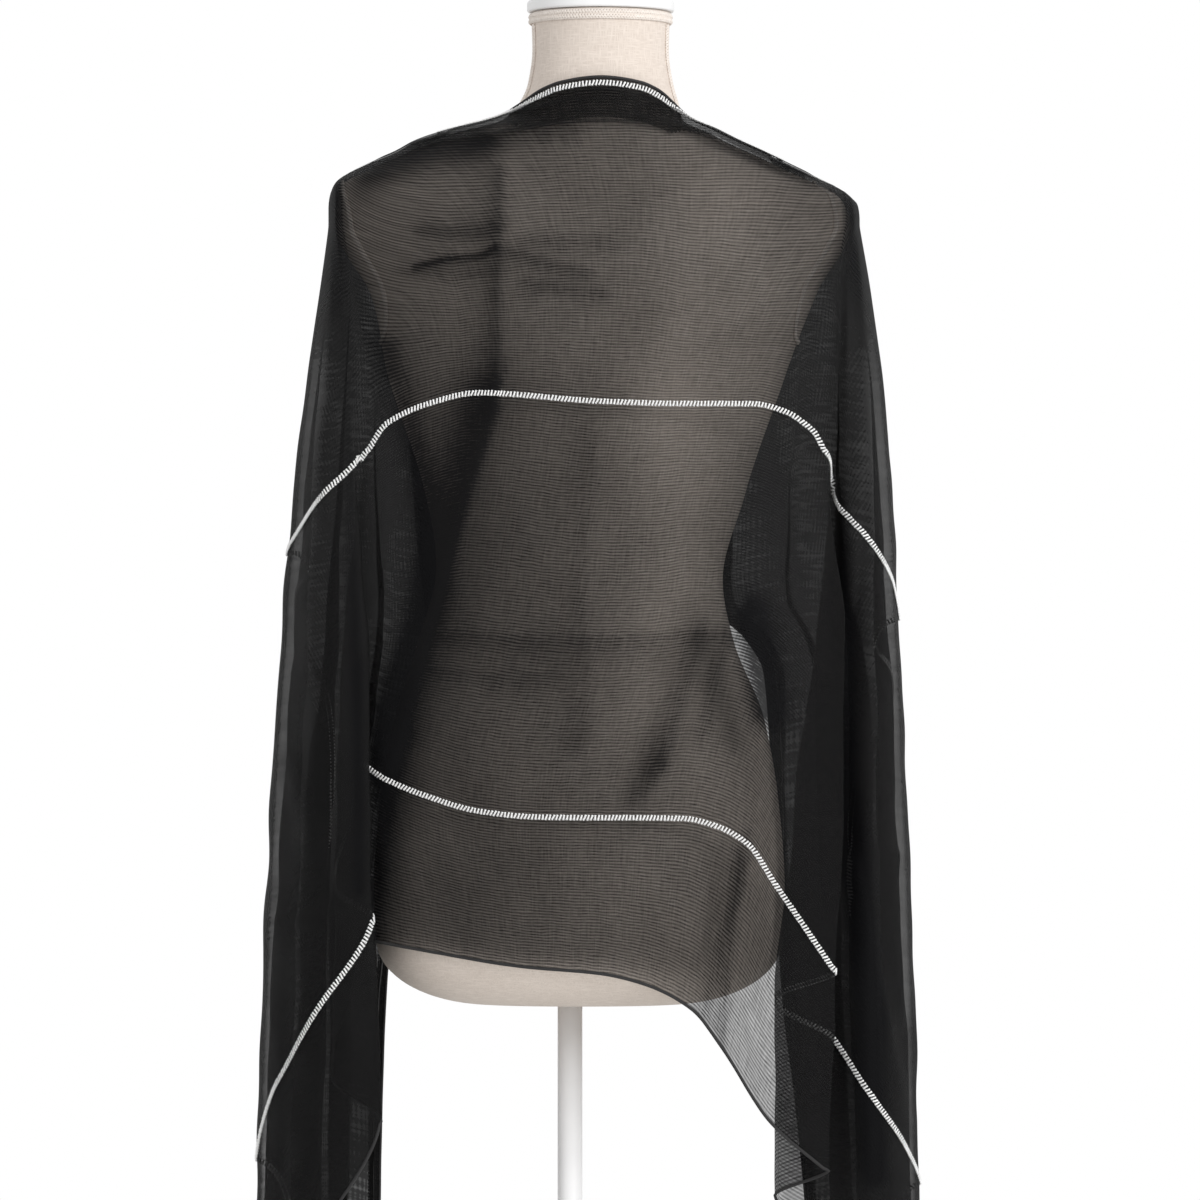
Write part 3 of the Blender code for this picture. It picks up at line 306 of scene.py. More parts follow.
rightFolds = [
    [(1360, 232, -42, 1), (1300, 222, -65, 1), (1200, 212, -83, 1), (1110, 215, -89, 1),
     (1020, 229, -91, 1), (850, 227, -94, 1), (650, 218, -94, 1), (250, 212, -92, 1)],
    [(1360, 236, -36, 0.78), (1300, 228, -55, 0.76), (1200, 223, -62, 0.75), (1110, 218, -54, 0.76),
     (1020, 206, -59, 0.78), (850, 186, -58, 0.785), (650, 168, -51, 0.785), (250, 170, -48, 0.76)],
    [(1360, 240, -31, 0.68), (1300, 235, -54, 0.68), (1200, 234, -69, 0.68), (1110, 233, -72, 0.69),
     (1020, 232, -66, 0.72), (850, 226, -63, 0.74), (650, 220, -60, 0.755), (250, 222, -56, 0.74)],
    [(1360, 243, -20, 0.62), (1300, 247, -44, 0.62), (1200, 252, -59, 0.62), (1110, 254, -67, 0.62),
     (1020, 257, -68, 0.64), (850, 258, -69, 0.68), (650, 257, -69, 0.70), (250, 262, -64, 0.70)],
    [(1360, 246, -4, 0.50), (1300, 256, -8, 0.51), (1200, 268, -8, 0.51), (1020, 278, -8, 0.53),
     (850, 286, -8, 0.58), (650, 293, -8, 0.63), (250, 299, -8, 0.67)],
]
# The inner edge of each front: height, across, depth
leftFrontEdge = [
    (1440, -104, 0), (1426, -105, 37), (1406, -106, 53), (1380, -106, 65), (1300, -109, 88),
    (1220, -111, 101), (1120, -106, 100), (1040, -103, 95), (960, -116, 92), (850, -142, 88),
    (700, -160, 86), (530, -165, 84), (250, -166, 80),
]
rightFrontEdge = [
    (1420, 168, 0), (1406, 166, 30), (1396, 164, 44), (1380, 160, 58), (1300, 142, 84),
    (1220, 124, 100), (1140, 113, 101), (1070, 112, 96), (1040, 118, 93), (1012, 150, 90),
    (980, 168, 88), (850, 176, 86), (700, 184, 84), (600, 196, 82), (500, 204, 80), (250, 206, 76),
]

shawl = {
    "length": 2.20,
    "width": 0.756,
    "upperLaceAt": 0.278,       # across the cloth from the neck edge
    "lowerLaceAt": 0.626,
    "neckLaceAt": 0.009,
    "neckLaceInMiddle": 0.0052,
    "laceMovesOver": (0.030, 0.095),
    "leftLaceDrop": (0.009, 0.007, 0.012),  # at the fold, by the outer edge, in the fold's turn
    "leftPointAt": 0.140,       # how much of the width has run over each shoulder
    "rightPointAt": 0.091,
    "edgeHeight": 1.39,         # of the back's edges, up on the shoulders
    "pointOut": 0.010,          # how far the shoulder's point lies outside the back's edge
    "neckMiddle": 0.026,
    "leftCrossing": -0.102,     # where the neck edge crosses the shoulders
    "rightCrossing": 0.170,
    "shoulderSlope": 1.03,      # how much longer the shoulders' slope is than its width
    "toForm": 0.0022,           # least gap to the form, level and upward
    "overForm": 0.0036,
    "squareness": 2.4,          # of the back's level sections
    "foldShare": 0.10,          # of a side, from one fold line to the next
    "outlineShare": 0.04,       # and what the outline's own turn adds
    "slopeFrom": (0.030, 0.003),    # the place before the first fold line, which sets its slope
    "slopeTo": 0.10,            # and the place in the front that sets the last one's
    "inwardInFan": 0.25,        # how far the top line comes in before the cloth hangs straight
    "pleats": 4,
    "pleatFlatness": 1.5,
    "pleatWander": 0.018,
    "wanderWaves": (1.5, 2.2),  # over the front, and for each metre of height
    "pleatUneven": 0.22,
    "unevenTurns": (9.0, 3.0),  # over the front, and from the middle to each side
    "pleatLean": 0.6,           # how much they lean the same way
    "pleatEnds": (0.167, 0.125),  # over what share of the front they grow and die away
    "frontPull": 0.62,
    "frontBulge": (0.001, 0.010),   # outward by the outline and forward by the front edge
    "mostSlope": 1.2,
    "tipRounding": 1.0,         # how round a fold's tip is
    "soft": 0.004,              # how softly the cloth turns on to the form
    "softShare": 0.008,
    "fanShare": 0.62,
    "rounding": (0.052, 0.016, 0.055),  # over the shoulder: of the back, outline and front
    "neckRounding": 0.13,
    "neckReach": (0.045, 0.095),    # where the neck's rounding gives way to the shoulders'
    "lowest": 0.12,             # where the search for the hem ends
    "rows": 188,
    "rowSpread": 0.75,
    "backColumns": 112,
    "foldColumns": 76,
    "frontColumns": 128,
}


def hermite(first, second, firstSlope, secondSlope, w):
    return (
        first * (1 + 2 * w) * (1 - w) ** 2 + firstSlope * w * (1 - w) ** 2
        + second * w * w * (3 - 2 * w) + secondSlope * w * w * (w - 1)
    )


def curveThrough(table, column=1, lengths=True):
    # smooth, with no overshoot; tables are in millimetres and the curve in metres
    rows = np.array(sorted(table), float)
    x, y = rows[:, 0] / 1000, rows[:, column] / (1000 if lengths else 1)
    step = np.diff(x)
    slope = np.diff(y) / step
    sameWay = slope[:-1] * slope[1:] > 0
    before, after = 2 * step[1:] + step[:-1], step[1:] + 2 * step[:-1]
    safe = np.where(sameWay, slope[:-1] * slope[1:], 1)
    mean = (before + after) * safe / np.where(sameWay, before * slope[1:] + after * slope[:-1], 1)
    tangent = np.array([slope[0], *np.where(sameWay, mean, 0), slope[-1]])

    def at(value):
        value = np.clip(np.asarray(value, float), x[0], x[-1])
        i = np.clip(np.searchsorted(x, value, side="right") - 1, 0, len(step) - 1)
        h = step[i]
        return hermite(y[i], y[i + 1], h * tangent[i], h * tangent[i + 1], (value - x[i]) / h)

    return at


def part(value, low, high):
    # how much of the way from low to high a value has come
    return np.clip((value - low) / (high - low), 0, 1)


def smooth(value, low, high):
    w = part(value, low, high)
    return w * w * (3 - 2 * w)


def bell(value, width):
    return np.exp(-((value / width) ** 2))


formMiddle, formHalfWidth, formMiddleDepth, formHalfDepth = [
    curveThrough(formSections, column) for column in range(1, 5)
]
formRoundness = curveThrough(formSections, 5, False)
topHeight, topBack, backDepth, pleatDepth = map(
    curveThrough, (topLine, topLineBack, backDepthLine, pleatDepthLine)
)
upperLaceHeight, lowerLaceHeight, hemHeight = map(
    curveThrough, (upperLaceLine, lowerLaceLine, hemLine)
)


def topDepth(x):
    return topBack(np.abs(x - shawl["neckMiddle"]))


def formReach(x, z):
    share = np.abs(x - formMiddle(z)) / formHalfWidth(z)
    power = formRoundness(z)
    return formHalfDepth(z) * np.clip(1 - share**power, 0, 1) ** (1 / power)


def behindForm(x, y, z):
    # y, moved back to clear the form's back
    z = z - shawl["overForm"]
    surface = formReach(x, z) + shawl["toForm"] - formMiddleDepth(z)
    inside = np.abs(x - formMiddle(z)) < formHalfWidth(z) + shawl["toForm"]
    soft = shawl["soft"]
    return np.where(inside, -soft * np.logaddexp(-y / soft, surface / soft), y)


def outsideForm(x, y, z):
    # a place in plan, moved straight out from the form's middle until it clears the form
    z = z - shawl["overForm"]
    across, deep = x - formMiddle(z), y - formMiddleDepth(z)
    power = formRoundness(z)
    level = (
        np.abs(across / (formHalfWidth(z) + shawl["toForm"])) ** power
        + np.abs(deep / (formHalfDepth(z) + shawl["toForm"])) ** power
    ) ** (1 / power)
    soft = shawl["softShare"]
    level = np.maximum(level, soft)
    out = (1 + soft * np.logaddexp(0, (level - 1) / soft)) / level
    return formMiddle(z) + across * out, formMiddleDepth(z) + deep * out


def pleatShare(place):
    # 0 on a pleat's outer tip and 1 on its inner one
    flat = shawl["pleatFlatness"]
    return 0.5 - 0.5 * np.tanh(flat * np.cos(2 * math.pi * place)) / math.tanh(flat)


def slopeAt(before, here, after, most):
    # how a curve passes the middle one of three points, rounder where it turns back
    first, second = here - before, after - here
    lengths = np.maximum(np.hypot(*first) * np.hypot(*second), 1e-9)
    turn = (1 - np.sum(first * second, axis=0) / lengths) / 2
    way = (after - before) / 2 * (1 + shawl["tipRounding"] * turn)
    return way * np.minimum(1, most / np.maximum(np.hypot(*way), 1e-6))


def rounding(depth, radius):
    return np.sqrt(1 - (1 - part(depth, 0, radius)) ** 2)


class ShawlSide:
    # one end of the shawl, from the back's edge (a = 0) round the shoulder to the front (a = 1)
    def __init__(self, folds, frontEdge, pointAt, crossing, turn):
        self.turn, self.pointAt, self.crossing = turn, pointAt, crossing
        self.x, self.y = [[curveThrough(rows, column) for rows in folds] for column in (1, 2)]
        self.fan = [curveThrough(rows, 3, False) for rows in folds]
        self.frontX, self.frontY = [curveThrough(frontEdge, column) for column in (1, 2)]
        self.outlineAt = shawl["foldShare"] * (len(folds) - 1) + shawl["outlineShare"]
        self.step = self.outlineAt / (len(folds) - 1)
        self.edgeX = float(self.x[0](shawl["edgeHeight"]))
        self.pointX = self.edgeX + turn * shawl["pointOut"]
        self.fanEnd = self.outlineAt + (1 - self.outlineAt) * shawl["fanShare"]

    def edgeWidth(self, z):
        # how far across the cloth the back's edge is at a height
        heights, v = self.backEdge
        below = (heights[0] - z) * (v[0] - v[8]) / (heights[8] - heights[0])
        return np.interp(z, heights, v) + np.clip(below, 0, None)

    def topX(self, a):
        share = shawl["inwardInFan"]
        inward = share * part(a, self.outlineAt, self.fanEnd)
        inward = inward + (1 - share) * part(a, self.fanEnd, 1)
        inFan = self.edgeX + (self.pointX - self.edgeX) * part(a, 0, self.outlineAt)
        return inFan + (self.crossing - self.pointX) * inward

    def foldAt(self, a):
        # the fold line before a place, and the share of the way to the next
        i = np.clip((a / self.step).astype(int), 0, len(self.x) - 2)
        return i, np.clip(a / self.step - i, 0, 1)

    def frontPlan(self, u, z):
        grow, die = shawl["pleatEnds"]
        along, apart = shawl["unevenTurns"]
        uneven = 1 + shawl["pleatUneven"] * np.sin(along * u + apart * self.turn)
        inward = pleatDepth(z) * pleatShare(shawl["pleats"] * u) * uneven
        inward = inward * part(u, 0, grow) * part(1 - u, 0, die)
        along, up = shawl["wanderWaves"]
        wave = np.sin(2 * math.pi * (along * u + up * z))
        u = u + shawl["pleatWander"] * wave * 4 * u * (1 - u)
        x0, y0, x3, y3 = self.x[-1](z), self.y[-1](z), self.frontX(z), self.frontY(z)
        pull, (outward, forward) = shawl["frontPull"], shawl["frontBulge"]
        corners = np.array([
            (x0, y0), (x0 - self.turn * outward, y0 + pull * (y3 - y0)),
            (x3 + pull * (x0 - x3), y3 + forward), (x3, y3),
        ])
        shares = (1 - u) ** 3, 3 * u * (1 - u) ** 2, 3 * u * u * (1 - u), u**3
        slopes = 3 * (1 - u) ** 2, 6 * u * (1 - u), 3 * u * u
        x, y = sum(w * corner for w, corner in zip(shares, corners))
        dx, dy = sum(w * step for w, step in zip(slopes, np.diff(corners, axis=0)))
        length = np.maximum(np.hypot(dx, dy), 1e-6)
        lean = shawl["pleatLean"]
        wayX = -self.turn * (lean + (1 - lean) * np.abs(dy) / length)
        wayY = -(lean + (1 - lean) * np.abs(dx) / length)
        size = np.hypot(wayX, wayY)
        return np.array([x + inward * wayX / size, y + inward * wayY / size])

    def plan(self, a, z):
        points = [(fx(z), fy(z)) for fx, fy in zip(self.x, self.y)]
        inward, behind = shawl["slopeFrom"]
        before = (points[0][0] - self.turn * inward, points[0][1] - behind)
        after = self.frontPlan(np.full_like(z, shawl["slopeTo"]), z)
        chain = np.array([before, *points, after])
        i, w = self.foldAt(a)
        take = [np.take_along_axis(chain, (i + k)[None, None], 0)[0] for k in range(4)]
        most = shawl["mostSlope"] * np.hypot(*(take[2] - take[1]))
        back = hermite(take[1], take[2], slopeAt(*take[:3], most), slopeAt(*take[1:], most), w)
        return np.where(a > self.outlineAt, self.frontPlan(part(a, self.outlineAt, 1), z), back)

    def acrossShare(self, a, z):
        depth = np.maximum(topHeight(self.edgeX) - z, 1e-4)
        edge = (self.edgeWidth(z) - self.pointAt) / depth
        shares = np.array([edge, *[fan(z) for fan in self.fan[1:]]])
        i, w = self.foldAt(a)
        low, high = [np.take_along_axis(shares, (i + k)[None], 0)[0] for k in (0, 1)]
        front = shares[-1] * np.cos(part(a, self.outlineAt, self.fanEnd) * math.pi / 2)
        return np.where(a > self.outlineAt, front, low + (high - low) * w)

    def surface(self, a, z):
        xTop = self.topX(a)
        zTop = topHeight(xTop)
        x, y = self.plan(a, z)
        xStart, yStart = self.plan(a, zTop)
        back, outline, front = shawl["rounding"]
        frontAt = self.outlineAt + (1 - self.outlineAt) / 3
        radius = np.interp(a, (0, self.outlineAt, frontAt), (back, outline, front))
        left = 1 - rounding(zTop - z, radius)
        x = x + (xTop - xStart) * left
        y = y + (topDepth(xTop) - yStart) * left
        return np.stack([*outsideForm(x, y, z), z], -1)

    def columns(self, a, levels=260):
        # heights down each column, with the place across and along the cloth at each
        a = np.atleast_1d(a)[:, None]
        xTop = self.topX(a)
        zTop = topHeight(xTop)
        depth = (zTop - shawl["lowest"]) * np.linspace(0, 1, levels)
        share = self.acrossShare(np.repeat(a, levels, 1), zTop - depth)
        v = self.pointAt * part(xTop, self.crossing, self.edgeX) + depth * share
        s = shawl["shoulderSlope"] * np.abs(xTop - shawl["neckMiddle"])
        return zTop - depth, v, s + depth * np.sqrt(np.clip(1 - share**2, 0, 1))

    def bottoms(self, a):
        # the height where each column comes to the hem or to the cloth's end
        z, v, s = self.columns(a)
        over = np.maximum(v - shawl["width"], s - shawl["length"] / 2)
        i = np.argmax(over > 0, axis=1)
        i[i == 0] = z.shape[1] - 1
        k = np.arange(len(i))
        before, after = over[k, i - 1], over[k, i]
        w = np.where(after > 0, before / np.where(before == after, 1, before - after), 1)
        return z[k, i - 1] + (z[k, i] - z[k, i - 1]) * w

    def cornerAt(self):
        # the column that runs down to the cloth's corner, between hem and end
        low, high = 0.0, 1.0
        for _ in range(40):
            middle = (low + high) / 2
            _, v, s = self.columns(middle)
            hemFirst = np.argmax(v > shawl["width"]) < np.argmax(s > shawl["length"] / 2)
            atHem = hemFirst and v.max() > shawl["width"]
            low, high = (middle, high) if atHem else (low, middle)
        return low


leftSide = ShawlSide(leftFolds, leftFrontEdge, shawl["leftPointAt"], shawl["leftCrossing"], -1)
rightSide = ShawlSide(rightFolds, rightFrontEdge, shawl["rightPointAt"], shawl["rightCrossing"], 1)


# The back: c goes from its left edge (0) to its right edge (1)
def panelX(c, z):
    left, right = leftSide.x[0](z), rightSide.x[0](z)
    return left + c * (right - left)


# The top, both laces and the hem: how high each is at a place across, and about how high at all
acrossBack = [
    (topHeight, shawl["edgeHeight"]), (upperLaceHeight, 1.2), (lowerLaceHeight, 0.86),
    (hemHeight, 0.72),
]


def lineOnBack(c, heightOf, start):
    z = np.full_like(c, start)
    for _ in range(12):
        z = heightOf(panelX(c, z))
    return z


def backLines(c):
    # heights of the top, both laces and the hem, and how much cloth has run over the top
    heights = [lineOnBack(c, *line) for line in acrossBack]
    x = panelX(c, heights[0])
    left, right = [
        side.pointAt * (x - side.crossing) / (side.edgeX - side.crossing)
        for side in (leftSide, rightSide)
    ]
    return heights, np.clip(np.maximum(left, right), 0, 1)


def backHeight(c, v):
    heights, start = backLines(c)
    knots = [start, shawl["upperLaceAt"], shawl["lowerLaceAt"], shawl["width"]]
    slopes = [(heights[i + 1] - heights[i]) / (knots[i + 1] - knots[i]) for i in range(3)]
    between = [2 * one * other / (one + other) for one, other in zip(slopes, slopes[1:])]
    tangents = [slopes[0], *between, slopes[2]]
    v = np.maximum(v, start)
    out = np.zeros(np.broadcast(c, v).shape)
    for i in range(3):
        h = knots[i + 1] - knots[i]
        w = part(v, knots[i], knots[i + 1])
        value = hermite(heights[i], heights[i + 1], h * tangents[i], h * tangents[i + 1], w)
        out = np.where(v >= knots[i], value, out)
    return out


def backSurface(c, v):
    z = backHeight(c, v)
    top = lineOnBack(c, *acrossBack[0])
    xTop, x = panelX(c, top), panelX(c, z)

    def hanging(x, z):
        middle = 0.5 * (leftSide.x[0](z) + rightSide.x[0](z))
        share = (x - middle) / (rightSide.x[0](z) - middle)
        edge = np.where(share < 0, leftSide.y[0](z), rightSide.y[0](z))
        return backDepth(z) + (edge - backDepth(z)) * np.abs(share) ** shawl["squareness"]

    fromNeck = part(np.abs(xTop - shawl["neckMiddle"]), *shawl["neckReach"])
    nearNeck = smooth(top - z, 0, shawl["neckRounding"])
    grown = nearNeck + (rounding(top - z, shawl["rounding"][0]) - nearNeck) * fromNeck
    y = hanging(x, z) + (topDepth(xTop) - hanging(xTop, top)) * (1 - grown)
    return np.stack([x, behindForm(x, y, z), z], -1)


def measureEdge(side, c):
    # heights up the back's edge, and how far across the cloth they are
    v = np.linspace(side.pointAt, shawl["width"], 200)
    side.backEdge = (backHeight(np.full(200, c), v)[::-1], v[::-1])


measureEdge(leftSide, 0.0)
measureEdge(rightSide, 1.0)


def sideGrid(side, edge):
    # points, the places across and along the cloth, and the column places
    shares = (edge[0, 2] - edge[:, 2]) / (edge[0, 2] - edge[-1, 2])
    a = np.concatenate([
        np.linspace(0, side.outlineAt, shawl["foldColumns"]),
        np.linspace(side.outlineAt, 1, shawl["frontColumns"])[1:],
    ])
    corner = side.cornerAt()
    a[int(np.argmin(np.abs(a - corner)))] = corner
    z, v, s = side.columns(a)
    heights = z[:, 0] - (z[:, 0] - side.bottoms(a)) * shares[:, None]
    across, along = [
        np.stack([np.interp(-heights[:, j], -z[j], values[j]) for j in range(len(a))], 1)
        for values in (v, s)
    ]
    points = side.surface(np.repeat(a[None], len(shares), 0), heights)
    points[:, 0] = edge
    return points, across, along, a


def clothGrid():
    rows = shawl["rows"]
    t = np.linspace(0, 1, rows + 1)
    spread = shawl["rowSpread"]     # closer rows at the top, even ones below
    shares = np.where(t < 0.5, t * t / spread, 1 - (1 - t) / spread)
    c = np.repeat(np.linspace(0, 1, shawl["backColumns"] + 1)[None], rows + 1, 0)
    start = backLines(c)[1]
    v = start + (shawl["width"] - start) * shares[:, None]
    back = backSurface(c, v)
    left, leftV, leftS, leftA = sideGrid(leftSide, back[:, 0])
    right, rightV, rightS, rightA = sideGrid(rightSide, back[:, -1])
    backS = -leftS[:, :1] + c * (rightS[:, :1] + leftS[:, :1])
    return {
        "points": np.concatenate([left[:, :0:-1], back, right[:, 1:]], 1),
        "across": np.concatenate([leftV[:, :0:-1], v, rightV[:, 1:]], 1),
        "along": np.concatenate([-leftS[:, :0:-1], backS, rightS[:, 1:]], 1),
        "place": np.concatenate([-leftA[:0:-1], np.zeros(c.shape[1]), rightA[1:]]),
        "seams": (len(leftA) - 1, len(leftA) - 1 + shawl["backColumns"]),
    }


def gridNormals(points):
    return unit(np.cross(np.gradient(points, axis=0), np.gradient(points, axis=1)))


# Pressed and hanging creases: height, width on the left and on the right of the line, how much
# more the cloth hides there, and the line itself, from the top, as across and height.
# Millimetres. Right and left are those of someone who walks along the line. The extra cover
# stands partly for doubled cloth and partly for painted shade, where shadow falls on the cloth
# and on the form behind it; where it is negative it is painted light. It also darkens the
# crepe's colour, painted shade.
creases = {
    "back": [
        (2.2, 3, 9, 0.12, [(-57, 1400), (-59, 1330), (-60, 1212)]),
        (0.8, 8, 30, 0.04, [(-64, 1400), (-66, 1330), (-64, 1212)]),
        (2.6, 4, 27, 0.33, [(-61, 1205), (-80, 1145), (-98, 1085), (-115, 1026), (-146, 906)]),
        (0.0, 18, 18, -0.20, [(-157, 1212), (-146, 1093), (-152, 1025), (-164, 950)]),
        (0.0, 9, 50, 0.34, [(-140, 930), (-147, 900), (-157, 853), (-163, 799), (-167, 762)]),
        (0.0, 12, 20, 0.26,
         [(-153, 1252), (-128, 1170), (-107, 1100), (-106, 1050), (-124, 992), (-142, 935)]),
        (0.0, 90, 90, 0.07, [(-84, 1150), (-76, 1040), (-84, 900), (-90, 760)]),
        (3.0, 2.6, 3, 0.30, [(-60, 1336), (-73, 1329), (-103, 1327), (-128, 1321)]),
        (1.8, 3, 10, 0.10, [(-60, 1350), (-76, 1347), (-96, 1348), (-122, 1350)]),
        (1.2, 3, 7, 0.07, [(-58, 1316), (-90, 1313), (-140, 1318)]),
        (1.6, 4, 7, 0.11, [(-54, 1334), (-36, 1330), (-10, 1321), (14, 1317)]),
        (1.2, 4, 9, 0.06, [(-30, 1346), (0, 1344), (34, 1343)]),
        (1.2, 4, 8, 0.08, [(-36, 1308), (0, 1303), (30, 1299)]),
        (1.4, 4, 11, 0.09, [(-98, 1013), (-30, 1009), (60, 1010), (128, 1017)]),
        (1.2, 4, 10, 0.07, [(-120, 985), (-60, 978), (-10, 980)]),
        (2.6, 7, 15, 0.16, [(110, 1012), (92, 960), (76, 906)]),
        (2.0, 6, 10, 0.12, [(132, 1010), (121, 980), (112, 930)]),
        (2.0, 6, 12, 0.10, [(76, 906), (60, 881)]),
        (2.4, 5, 9, 0.12, [(149, 842), (130, 770), (113, 700)]),
        (2.0, 4, 7, 0.12, [(143, 830), (132, 740), (125, 655)]),
        (1.2, 6, 16, 0.06, [(20, 1180), (8, 1060), (14, 930)]),
        (0.0, 8, 17, 0.22, [(-182, 1400), (-119, 1425), (-77, 1432)]),
        (0.0, 8, 13, 0.10, [(-77, 1432), (-30, 1436), (0, 1439)]),
        (1.2, 60, 50, -0.07, [(120, 1400), (118, 1290), (90, 1220)]),
        (1.0, 50, 30, -0.07, [(88, 1190), (96, 1080), (84, 960)]),
        (0.0, 20, 13, 0.42, [(150, 1030), (155, 1000), (164, 950)]),
    ],
    "leftEnd": [
        (1.8, 6, 16, -0.12, [(-234, 1270), (-243, 900), (-246, 545)]),
        (1.2, 10, 24, -0.08, [(-200, 1270), (-200, 1060), (-196, 880)]),
        (0.0, 9, 9, 0.26, [(-182, 1310), (-178, 1200), (-177, 1000), (-174, 800)]),
        (2.2, 6, 14, 0.08, [(-230, 906), (-214, 850), (-191, 787)]),
        (1.6, 6, 12, 0.08, [(-205, 1180), (-214, 1040), (-205, 940)]),
        (1.6, 7, 12, -0.10, [(-188, 700), (-206, 600), (-226, 560)]),
        (0.0, 12, 12, -0.35, [(-262, 590), (-256, 550), (-250, 530)]),
        (1.2, 4, 9, -0.10, [(-176, 1270), (-172, 1150), (-171, 1000)]),
    ],
    "rightEnd": [
        (2.0, 3, 8, -0.16, [(213, 1150), (210, 1050), (208, 880)]),
        (0.0, 14, 15, 0.32,
         [(218, 1130), (229, 1040), (233, 890), (244, 800), (252, 690), (256, 560)]),
        (1.6, 3, 7, -0.12, [(243, 1230), (246, 1150), (238, 1040)]),
        (2.0, 6, 16, -0.08, [(262, 1180), (272, 960), (280, 700)]),
        (1.6, 6, 12, 0.08, [(240, 820), (262, 700), (286, 600)]),
    ],
    "leftFront": [
        (2.0, 6, 14, 0.06, [(-118, 1330), (-150, 1200), (-170, 1040)]),
        (2.0, 7, 14, 0.06, [(-235, 980), (-210, 860), (-190, 700)]),
        (1.8, 5, 12, 0.06, [(-150, 800), (-190, 770), (-240, 765)]),
    ],
    "rightFront": [
        (2.0, 6, 14, 0.06, [(150, 1310), (170, 1180), (200, 1040)]),
        (2.0, 7, 14, 0.06, [(262, 960), (240, 820), (214, 690)]),
        (1.8, 5, 12, 0.06, [(190, 860), (230, 830), (280, 824)]),
    ],
}

# Where an end turns from back to front: a dark edge, and a lighter stripe inside it, which
# turns dark up by the shoulder
outerFold = {
    "cover": 0.35,
    "width": 0.0022,
    "stripeCover": -0.09,
    "stripeAt": 0.0105,
    "stripeWidth": 0.006,
    "shoulderCover": 0.22,
    "shoulderWidth": 0.030,
    "shoulderHeight": (1.22, 1.34),
}


# How closely the cloth hangs in folds, from the place where each side's end and front set in
gathers = {
    "left": ((0.16, 0.30), (0.52, 0.62)),
    "right": ((0.10, 0.22), (0.44, 0.56)),
    "shares": (0.4, 0.6),           # what the end and the front add
    "hangsFrom": (1.40, 1.26),      # heights between which it comes to hang freely
    "wavesFrom": (1.30, 1.12),      # and those between which its slow waves set in
    "waveHeight": 0.0011,
}


def fromLine(x, z, line):
    # signed distance from a line of points, positive on its right as one walks along it
    best = np.full(x.shape, np.inf)
    side = np.ones(x.shape)
    for (x0, z0), (x1, z1) in zip(line, line[1:]):
        dx, dz = x1 - x0, z1 - z0
        w = np.clip(((x - x0) * dx + (z - z0) * dz) / (dx * dx + dz * dz), 0, 1)
        gap = np.hypot(x - x0 - w * dx, z - z0 - w * dz)
        turn = np.sign((x - x0) * dz - (z - z0) * dx)
        closer = gap < best
        best, side = np.where(closer, gap, best), np.where(closer, turn, side)
    return best * side


def creaseMarks(grid):
    # how high the creases stand, and how much more the cloth hides at them, as doubled cloth and as
    # painted shade and painted light
    place, (first, last) = grid["place"], grid["seams"]
    x, z = grid["points"][..., 0], grid["points"][..., 2]
    column = np.arange(x.shape[1])
    parts = {
        "back": smooth(column, first - 1, first + 6) * smooth(-column, -last - 1, -last + 6),
        "leftEnd": smooth(-place, 0.30, 0.36) * smooth(place, -0.56, -0.52),
        "rightEnd": smooth(place, 0.14, 0.19) * smooth(-place, -0.46, -0.42),
        "leftFront": smooth(-place, 0.55, 0.62),
        "rightFront": smooth(place, 0.46, 0.54),
    }
    raised, doubledAndShade = np.zeros(x.shape), np.zeros(x.shape)
    for name, lines in creases.items():
        for height, leftWidth, rightWidth, cover, line in lines:
            gap = fromLine(x, z, np.array(line) / 1000)
            shape = bell(gap, np.where(gap > 0, rightWidth, leftWidth) / 1000) * parts[name]
            raised += height / 1000 * shape
            doubledAndShade += cover * shape
    for columns in (slice(0, first), slice(last + 1, None)):
        inside = np.abs(x[:, columns])
        inside = inside.max(1, keepdims=True) - inside
        high = smooth(z[:, columns], *outerFold["shoulderHeight"])
        stripe = bell(inside - outerFold["stripeAt"], outerFold["stripeWidth"]) * (1 - high)
        doubledAndShade[:, columns] += (
            outerFold["cover"] * bell(inside, outerFold["width"])
            + outerFold["stripeCover"] * stripe
            + outerFold["shoulderCover"] * high * bell(inside, outerFold["shoulderWidth"])
        )
    return raised, doubledAndShade


def slowWaves(v, s):
    return (
        np.sin(41 * v + 7 * s + 0.6) * np.sin(23 * s - 9 * v)
        + 0.6 * np.sin(67 * v - 31 * s + 2.0)
        + 0.4 * np.sin(113 * s + 19 * v) * np.sin(29 * v + 1.0)
    )


def ribPlaces(grid):
    # the ribs run level across the shoulders and follow the cloth from the upper lace down
    middle, upper = shawl["neckMiddle"], shawl["upperLaceAt"]
    down = topHeight(middle) - grid["points"][..., 2]
    level = upper * down / (topHeight(middle) - upperLaceHeight(middle))
    shift = (level - grid["across"]) * smooth(-grid["across"], -upper, -0.02)
    first, last = grid["seams"]
    for edge, columns in ((first, slice(0, first)), (last, slice(last + 1, None))):
        near = 1 - smooth(np.abs(grid["place"][columns]), 0.0, 0.5)
        shift[:, columns] = shift[:, edge : edge + 1] * near
    return grid["across"] + shift


